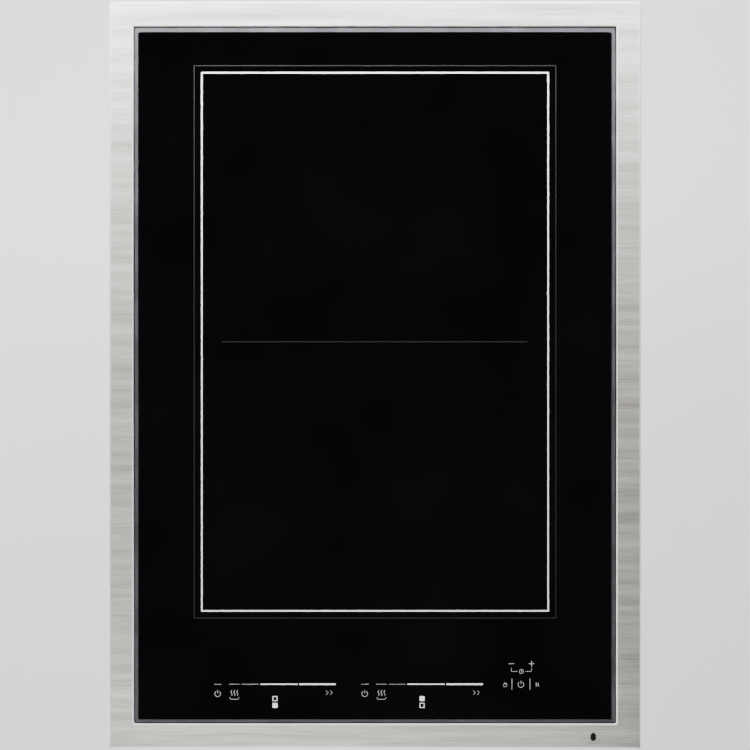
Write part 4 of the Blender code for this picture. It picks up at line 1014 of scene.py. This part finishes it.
# %% Finishes for components
film_case = cast_surface("film_capacitor_case", "1F4E9A", "2C63B8", 0.4, 0.5, 0.02, IOR=1.55)
x_case = cast_surface("x_capacitor_case", "C89A1E", "E2B637", 0.42, 0.5, 0.02, IOR=1.55)
chip_case = cast_surface("epoxy_chip_moulded", "1A1A1C", "26262A", 0.5, 0.3, 0.01, IOR=1.55)
connector_nylon = cast_surface("nylon_connector_natural", "D9D4C4", "EDE8DA", 0.45, 0.4, 0.02, IOR=1.53)
varistor_coat = cast_surface("epoxy_dipped_blue", "27457F", "345BA3", 0.35, 0.5, 0.05, IOR=1.55)
brass = drawn_metal("brass_turned", "B08D3E", "D4B25E", 0.3, (1.0, 1.0, 1.0), 0.01)
BOARD_FACE = 7.9  # the boards' upper face, in millimetres
SEAT = 8.2  # where large parts stand, a little above it on their leads


def add_pins(bm, spots, half=0.35, top=BOARD_FACE + 3):
    """Square pins through the board, in millimetres."""
    for spot in spots:
        add_block(bm, spot, (half, half), (BOARD_FACE - 0.4, top))


print("component finishes ready")

# %% [markdown]
# Five power devices stand in a row on the heat sink: four transistors and a rectifier. A bent
# spring clip presses each one to the metal, and its three legs go down into the board.

# %% Power transistors, rectifier and clamps
DEVICES = 5
FIRST_DEVICE = 14  # millimetres from the heat sink's left end
DEVICE_PITCH = 23
sink_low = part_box("heat_sink")[0]
cases = bmesh.new()
leads = bmesh.new()
clips = bmesh.new()
for index in range(DEVICES):
    x = sink_low.x / MM + FIRST_DEVICE + DEVICE_PITCH * index
    y = sink_low.y / MM - 0.3
    add_block(cases, (x, y - 2.5), (8, 2.5), (13, 33), 0.5 * MM, 2)
    for leg in (-5.4, 0, 5.4):
        add_block(leads, (x + leg, y - 2.7), (0.6, 0.3), (7.5, 14))
    add_block(clips, (x, y - 5.35), (3, 0.35), (20, 35), 0.25 * MM, 2)
    add_block(clips, (x, y - 0.85), (3, 4.85), (34.3, 35), 0.25 * MM, 2)
make_piece("power_transistors", cases, chip_case)
make_piece("transistor_leads", leads, tinned_copper)
make_piece("transistor_clips", clips, spring_wire)
print(DEVICES, "power devices on the heat sink")

# %% [markdown]
# Four film capacitors resonate with the coils, and four electrolytic cans smooth the low
# voltages. A can has a crimped groove near its foot and a rolled rim round its top. Two small
# transformers drive the transistors.

# %% Capacitors and transformers on the power board
bm = bmesh.new()
for spot in ((-12, -80), (12, -80), (-12, -52), (12, -52)):
    add_block(bm, spot, (10, 12), (SEAT, 27), 0.8 * MM, 2)
make_piece("resonant_capacitors", bm, film_case)
bm = bmesh.new()
for x, y, radius, tall in ((100, -60, 8, 26), (120, -60, 8, 26), (138, -82, 5, 16), (138, -66, 5, 16)):
    can = [
        (0, 0), (radius - 0.6, 0), (radius, 0.6), (radius, 2), (radius - 0.5, 2.6), (radius, 3.2),
        (radius, tall - 0.8), (radius - 0.8, tall), (radius - 1.6, tall), (radius - 1.9, tall - 0.3),
        (0, tall - 0.3),
    ]
    add_turned(bm, in_metres(can), (x * MM, y * MM, SEAT * MM), 28)
make_piece("electrolytic_capacitors", bm, case_epoxy)
bm = bmesh.new()
for spot in ((72, 95), (98, 95)):
    add_block(bm, spot, (11, 9), (SEAT, 20), 0.6 * MM, 2)
make_piece("gate_transformers", bm, case_epoxy)
bm = bmesh.new()
add_pins(bm, [(x, y) for x in (-22, 22) for y in (-86, -74, -58, -46)])
add_pins(bm, [(72 + dx, 95 + dy) for dx in (-12, 12, 38) for dy in (-5, 0, 5)])
make_piece("power_board_pins", bm, tinned_copper)
print("capacitors on the power board")

# %% [markdown]
# Surface-mounted parts are small blocks in rows: resistors and capacitors have bright end caps,
# and chips have gull-wing legs on two or four sides.

# %% Small parts and chips
SMALL_PITCH = (4.4, 3.2)  # millimetres from one small part to the next


def add_chip(body, legs, x, y, wide, deep, face, pins, tall=1.5, four_sides=False):
    """A chip with rows of legs, in millimetres. It stands on the face, a height."""
    add_block(body, (x, y), (wide / 2, deep / 2), (face + 0.1, face + tall), 0.15 * MM)
    for step in range(pins):
        along = (step - (pins - 1) / 2) * (wide - 1.5) / (pins - 1)
        for side in (-1, 1):
            spots = [(x + along, y + side * (deep / 2 + 0.5), 0.18, 0.6)]
            if four_sides:
                spots.append((x + side * (wide / 2 + 0.5), y + along, 0.6, 0.18))
            for px, py, half_x, half_y in spots:
                add_block(legs, (px, py), (half_x, half_y), (face - 0.05, face + 0.25))


def add_small_parts(body, caps, x, y, columns, rows, face):
    """Resistors and small capacitors in columns and rows, in millimetres."""
    for column in range(columns):
        for row in range(rows):
            px, py = x + column * SMALL_PITCH[0], y + row * SMALL_PITCH[1]
            add_block(body, (px, py), (0.7, 0.6), (face - 0.05, face + 0.5))
            for side in (-1, 1):
                add_block(caps, (px + side * 0.9, py), (0.25, 0.63), (face - 0.05, face + 0.54))


chips = bmesh.new()
tin = bmesh.new()
add_chip(chips, tin, 62, -62, 12, 12, BOARD_FACE, 12, four_sides=True)
for x, y in ((30, -30), (50, -30), (70, -30), (90, -30)):
    add_chip(chips, tin, x, y, 8, 4, BOARD_FACE, 7)
add_chip(chips, tin, 20, 75, 16, 7, BOARD_FACE, 9, 2.4)
add_small_parts(chips, tin, 34, -88, 9, 4, BOARD_FACE)
add_small_parts(chips, tin, 24, -22, 16, 3, BOARD_FACE)
add_small_parts(chips, tin, -20, 60, 7, 8, BOARD_FACE)
make_piece("power_board_chips", chips, chip_case)
make_piece("power_board_solder", tin, tinned_copper)

touch_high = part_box("touch_board")[1]
chips = bmesh.new()
tin = bmesh.new()
face = touch_high.z / MM
add_chip(chips, tin, -130, -209, 10, 10, face, 10, four_sides=True)
add_small_parts(chips, tin, -112, -214, 20, 3, face)
add_small_parts(chips, tin, 88, -214, 8, 3, face)
make_piece("touch_board_chips", chips, chip_case)
make_piece("touch_board_solder", tin, tinned_copper)
print("chips and small parts placed")

# %% [markdown]
# Each touch key has a spring that presses on the underside of the glass, right below its
# symbol. It is wire, wound into a small cone, and the board reads its capacitance.

# %% Touch springs
SPRING_WIRE = 0.25 * MM


def helix(radius, pitch, turns, place, squeeze=1.0, steps=14):
    points = []
    for step in range(round(turns * steps) + 1):
        turn = math.tau * step / steps
        reach = radius * (1 - (1 - squeeze) * step / (turns * steps))
        spot = Vector((reach * math.cos(turn), reach * math.sin(turn), pitch * step / steps))
        points.append(Vector(place) + spot)
    return points


def add_tube(bm, points, radius, ring=8):
    """A round wire through points, with closed ends."""
    frames = []
    upward = Vector((0, 0, 1))
    for index, point in enumerate(points):
        before, after = points[max(index - 1, 0)], points[min(index + 1, len(points) - 1)]
        ahead = (after - before).normalized()
        out = ahead.cross(upward)
        if out.length < 0.05:
            out = frames[-1][1] if frames else Vector((1, 0, 0))
        out = out.normalized()
        frames.append((point, out, out.cross(ahead).normalized()))
    add_cable(bm, frames, radius, radius, 0, 1.0, ring)


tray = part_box("touch_board")[1].z
bm = bmesh.new()
room = glass_low.z - tray - 0.5 * MM
for x in (-113, 98.5, 113.0, -7):
    add_tube(bm, helix(2.4 * MM, room / 6, 6, (x * MM, -204 * MM, tray), 0.7), SPRING_WIRE)
make_piece("touch_springs", bm, spring_wire)
print("touch springs", round(room / MM, 1), "mm high")

# %% [markdown]
# The filter board keeps the inverter's noise off the supply. Beside its choke it has three
# yellow capacitors across the lines and two dipped discs that catch voltage spikes. White
# connectors with brass pins join both boards to their wires.

# %% Filter board
bm = bmesh.new()
for spot in ((-138, -40), (-138, -66), (-64, -96)):
    add_block(bm, spot, (7, 10), (SEAT, 24), 0.7 * MM, 2)
make_piece("x_capacitors", bm, x_case)
bm = bmesh.new()
disc = [(0, -1.8), (4.5, -1.8), (5.6, -1.1), (5.9, 0), (5.6, 1.1), (4.5, 1.8), (0, 1.8)]
for x in (-64, -72):
    add_button(bm, in_metres(disc), (x * MM, -34 * MM, 15 * MM), (1, 0, 0))
make_piece("varistors", bm, varistor_coat)
bm = bmesh.new()
add_block(bm, (-123, -105.5), (18, 4.5), (SEAT, 17), 0.4 * MM)
add_block(bm, (-64, -61), (6, 11), (SEAT, 16), 0.4 * MM)
add_block(bm, (138, 101), (8, 9), (SEAT, 17), 0.4 * MM)
add_block(bm, (50, -106.5), (10, 2.5), (9.4, 13), 0.3 * MM)
make_piece("board_connectors", bm, connector_nylon)
bm = bmesh.new()
add_pins(bm, [(x, -105.5) for x in range(-138, -106, 5)], 0.5, 17.6)
add_pins(bm, [(-64, y) for y in (-68, -61, -54)], 0.5, 16.6)
make_piece("connector_pins", bm, brass)
print("filter board filled")

# %% [markdown]
# Wiring: the supply comes from the terminal block, along the box's right wall and across to the
# filter board, and then goes on to the power board. Insulation colours follow the wiring code:
# brown and black for the lines, blue for neutral, green for earth. The fan has a thin red and black
# pair. A wire is a round tube along a path whose corners are rounded.

# %% Wires
def rounded_path(corners, radius, steps=6):
    """Points along straight runs in millimetres, with the corners turned in arcs."""
    points = [Vector(corner) * MM for corner in corners]
    path = [points[0]]
    for before, corner, after in zip(points, points[1:], points[2:]):
        start = corner + (before - corner).normalized() * radius
        end = corner + (after - corner).normalized() * radius
        for step in range(steps + 1):
            share = step / steps
            path.append(start * (1 - share) ** 2 + corner * 2 * share * (1 - share) + end * share**2)
    return path + [points[-1]]


insulation = {
    "brown": ("5A3420", "6E4229"), "black": ("141414", "222222"), "blue": ("1D3F86", "2B56AC"),
    "green": ("2A6B2E", "3B8A40"), "red": ("8E1B1B", "B02A2A"),
}
plastics = {
    colour: cast_surface(f"pvc_insulation_{colour}", dark, light, 0.42, 0.6, 0.02, IOR=1.53)
    for colour, (dark, light) in insulation.items()
}
for index, colour in enumerate(("brown", "black", "blue", "green")):
    off = index * 3.4
    corners = [
        (94 + index * 12.5, 193, 14), (94 + index * 12.5, 180 - off, 14), (154 - off, 170 - off, 6),
        (154 - off, 128 - off, 6), (-20 - off, 128 - off, 6), (-30 - off, 110, 6),
        (-30 - off, 0, 6), (-60, -6 - off, 12), (-64, -53 - index * 5, 17),
    ]
    bm = bmesh.new()
    add_tube(bm, rounded_path(corners[:6], 6 * MM) + rounded_path(corners[6:], 4 * MM), 1.4 * MM)
    make_piece(f"supply_wire_{colour}", bm, plastics[colour])
for index, colour in enumerate(("red", "black")):
    off = index * 2.2
    corners = [(-60 + off, 104, 16), (-45, 114 + off, 14), (-26, 112 + off, 14), (-22, 100 + off, 9)]
    bm = bmesh.new()
    add_tube(bm, rounded_path(corners, 5 * MM), 0.7 * MM)
    make_piece(f"fan_wire_{colour}", bm, plastics[colour])
print(len(insulation), "insulation colours")

# %% [markdown]
# Three springs carry each coil and press its mica against the glass. They are wound from
# round wire, with a flat turn at each end so that they stand square.

# %% Coil springs
COIL_WIRE = 0.6 * MM
ACTIVE_TURNS = 4
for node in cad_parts:
    if not node.startswith("coil_spring"):
        continue
    low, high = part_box(node)
    centre = (low + high) / 2
    radius = (high.x - low.x) / 2 - COIL_WIRE
    bottom = low.z + COIL_WIRE
    rise = high.z - low.z - 2 * COIL_WIRE
    points = []
    steps = 16
    for step in range((ACTIVE_TURNS + 2) * steps + 1):
        turn = step / steps
        climb = min(max((turn - 0.8) / (ACTIVE_TURNS + 0.4), 0), 1)
        angle = math.tau * turn
        points.append(Vector((
            centre.x + radius * math.cos(angle), centre.y + radius * math.sin(angle), bottom + rise * climb,
        )))
    bm = bmesh.new()
    add_tube(bm, points, COIL_WIRE)
    piece = make_piece(f"{node}_wound", bm, spring_wire)
    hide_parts(node)
    end = "front" if "front" in node else "rear"
    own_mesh(piece)

# %% [markdown]
# Each coil has two leads in braided glass-fibre sleeves. They run over the edge of the coil
# plate and down to the power board.
# The temperature sensors have short tails that end in a plug.

# %% Coil leads and sensor tails
sleeve = wound_wire("glass_fibre_braided", "B9B4A6", "DAD6CA", 1.2 * MM, (0, 0, math.radians(45)))
LEADS = {
    "front": [
        (112, -97, 59), (124, -112, 58), (124, -180, 50), (124, -193.5, 42), (124, -193.5, 16),
        (124, -150, 5), (124, -118, 5), (124, -107, 12), (124, -100, 9),
    ],
    "rear": [
        (-112, 150, 59), (-126, 165, 58), (-126, 228, 50), (-126, 240, 42), (-126, 240, 12),
        (-112, 222, 5), (-40, 190, 5), (-24, 122, 5), (-24, 108, 12), (-24, 103, 9),
    ],
}
for end, corners in LEADS.items():
    for index in range(2):
        shift = 4.2 * index
        path = [(x + shift, y - shift * (i == 0), z) for i, (x, y, z) in enumerate(corners)]
        bm = bmesh.new()
        add_tube(bm, rounded_path(path, 5 * MM), 1.7 * MM, 10)
        piece = make_piece(f"coil_lead_{end}_{index + 1}", bm, sleeve, None)
        start, finish = Vector(corners[1]) * MM, Vector(corners[2]) * MM
        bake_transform(piece)
    low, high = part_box(f"temperature_sensor_{end}")
    y = (low.y + high.y) / 2
    bm = bmesh.new()
    for side in (-1, 1):
        tail = [Vector((side * 1.2 * MM, y, low.z + 0.5 * MM)), Vector((side * 1.2 * MM, y, low.z - 11 * MM))]
        add_tube(bm, tail, 0.6 * MM)
    add_bar(bm, (-3 * MM, y - 1.5 * MM, 35.5 * MM), (3 * MM, y + 1.5 * MM, 41.5 * MM), 0.4 * MM)
    make_piece(f"sensor_tail_{end}", bm, plastics["blue"], f"{end}_sensor")
print("leads and tails in place")

# %% [markdown]
# The fan's cover has ribs against drumming, a raised ring over the motor, and three small
# screws.

# %% Fan cover ribs
RIBS = 12
SCREW_CIRCLE = 47 * MM  # the cover's screws, from the fan's axis
fan_low, fan_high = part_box("fan_motor")
fan = (fan_low + fan_high) / 2
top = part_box("fan_cover")[1].z
bm = bmesh.new()
for step in range(RIBS):
    rib = bmesh.new()
    add_bar(rib, (18 * MM, -0.6 * MM, top - 0.3 * MM), (42 * MM, 0.6 * MM, top + 0.9 * MM), 0.25 * MM)
    turn = Matrix.Translation((fan.x, fan.y, 0)) @ Matrix.Rotation(math.tau * step / RIBS, 4, "Z")
    bmesh.ops.transform(rib, matrix=turn, verts=rib.verts)
    merge(bm, rib)
ring = [(0, -0.3), (17, -0.3), (17, 0.9), (16, 1.4), (14, 1.4), (13, 0.6), (6, 0.6), (5, 1.1), (0, 1.1)]
add_turned(bm, in_metres(ring), (fan.x, fan.y, top), 48)
make_piece("fan_cover_ribs", bm, black_nylon)
bm = bmesh.new()
for step in range(3):
    angle = math.tau * (step + 0.54) / 3
    place = (fan.x + SCREW_CIRCLE * math.cos(angle), fan.y + SCREW_CIRCLE * math.sin(angle), top)
    dome = [(0, -0.3), (2.4, -0.3), (2.4, 0.5), (1.9, 1.1), (1.0, 1.35), (0.5, 0.7), (0, 0.7)]
    add_turned(bm, in_metres(dome), place, 20)
make_piece("fan_cover_screws", bm, plated_steel)
print(RIBS, "ribs on the fan's cover")

# %% [markdown]
# The terminal block holds one brass screw for each wire, under a slotted head.

# %% Terminal screws
TERMINALS = 5
FIRST_TERMINAL = 91  # millimetres right of the middle
TERMINAL_PITCH = 11
bm = bmesh.new()
for step in range(TERMINALS):
    head = bmesh.new()
    add_turned(head, in_metres([(0, 0), (3.4, 0), (3.4, 1.2), (2.9, 1.8), (0, 1.8)]), (0, 0, 0), 24)
    slot = bmesh.new()
    add_bar(slot, (-4 * MM, -0.4 * MM, 0.9 * MM), (4 * MM, 0.4 * MM, 3 * MM))
    head = cut(head, slot)
    spot = ((FIRST_TERMINAL + TERMINAL_PITCH * step) * MM, 205 * MM, 23.35 * MM)
    bmesh.ops.translate(head, vec=spot, verts=head.verts)
    merge(bm, head)
make_piece("terminal_screws", bm, brass)
print(TERMINALS, "terminal screws")

# %% [markdown]
# The room is a plain studio. Straight overhead it is dark, so that the glass stays black, and
# it gets brighter towards the horizon. A soft light stands behind the cooktop, a little to the
# left, and the brushed steel spreads it over the whole frame. Lights at both sides reach the
# lip of the frame and the floor, and a weak one in front lifts the near end. Polished glass
# would mirror each lamp as a white patch, so those lamps are kept off it, as a studio does with
# a polariser, and it mirrors only the room. A soft lamp of its own, which it doesn't mirror,
# lifts its black a little.

# %% Room and lights
world = bpy.data.worlds.new("studio")
bpy.context.scene.world = world
world.use_nodes = True
sky = world.node_tree
direction = add_node(sky, "TexCoord").outputs["Generated"]
upward = add_node(sky, "SeparateXYZ", Vector=direction).outputs["Z"]
shade = ramp(sky, upward, [(0.0, "F4F4F4"), (0.3, "8C8C8E"), (0.6, "505052"), (0.97, "101011")])
rearward = add_node(sky, "SeparateXYZ", Vector=direction).outputs["Y"]
side_level = add_node(sky, "MapRange", Value=rearward, From_Min=-1.0, To_Min=0.16, To_Max=0.31)
background = sky.nodes["Background"]
sky.links.new(shade, background.inputs["Color"])
sky.links.new(side_level.outputs["Result"], background.inputs["Strength"])

lit_by = {}
for state in ("EXCLUDE", "INCLUDE"):
    lit_by[state] = bpy.data.collections.new(f"glass_{state.lower()}")
    lit_by[state].objects.link(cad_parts["glass_top"])
    lit_by[state].collection_objects[0].light_linking.link_state = state


def soft_light(name, place, size, power, on_glass=False):
    data = bpy.data.lights.new(name, "AREA")
    data.shape = "RECTANGLE"
    data.size, data.size_y = size
    data.energy = power
    light = bpy.data.objects.new(name, data)
    light.location = place
    light.visible_camera = False
    light.visible_glossy = not on_glass
    light.light_linking.receiver_collection = lit_by["INCLUDE" if on_glass else "EXCLUDE"]
    light.rotation_euler = (-Vector(place)).to_track_quat("-Z", "Y").to_euler()
    bpy.context.scene.collection.objects.link(light)
    print(name, "at", [round(v, 2) for v in place])


soft_light("rear_light", (-0.04, 0.36, 0.205), (1.0, 0.12), 9.7)
soft_light("front_light", (-0.06, -0.44, 0.25), (0.5, 0.12), 1.9)
soft_light("left_light", (-1.3, 0.1, 0.8), (0.8, 1.0), 19)
soft_light("right_light", (1.3, 0.1, 0.8), (0.8, 1.0), 11)
soft_light("glass_light", (0, 0, 0.8), (1.0, 1.4), 27, on_glass=True)

# %% [markdown]
# The floor lies well below the cooktop, as a box like this hangs free in a worktop. It gives off a
# little light of its own, as a lit studio table does. Its underside is clear, so that the bottom of
# the box can be looked at too.

# %% Floor
FLOOR_SIZE = 3.0
FLOOR_DROP = 0.35
FLOOR_GLOW = 0.45  # lifts the floor to a studio white
bm = bmesh.new()
bmesh.ops.create_grid(bm, x_segments=1, y_segments=1, size=FLOOR_SIZE)
bmesh.ops.translate(bm, vec=(0, 0, -FLOOR_DROP), verts=bm.verts)
mesh = bpy.data.meshes.new("floor")
bm.to_mesh(mesh)
bm.free()
floor = bpy.data.objects.new("floor", mesh)
bpy.context.scene.collection.objects.link(floor)
floor_paint, floor_tree, floor_shader = new_material("floor_matt_paint", "F6F6F5", 0.9)
backside = add_node(floor_tree, "NewGeometry").outputs["Backfacing"]
floor_tree.links.new(
    add_node(floor_tree, "Math", {"operation": "SUBTRACT"}, _0=1.0, _1=backside).outputs[0],
    floor_shader.inputs["Alpha"],
)
floor_shader.inputs["Emission Color"].default_value = (1, 1, 1, 1)
floor_shader.inputs["Emission Strength"].default_value = FLOOR_GLOW
floor.data.materials.append(floor_paint)
print("floor", 2 * FLOOR_SIZE, "m across")
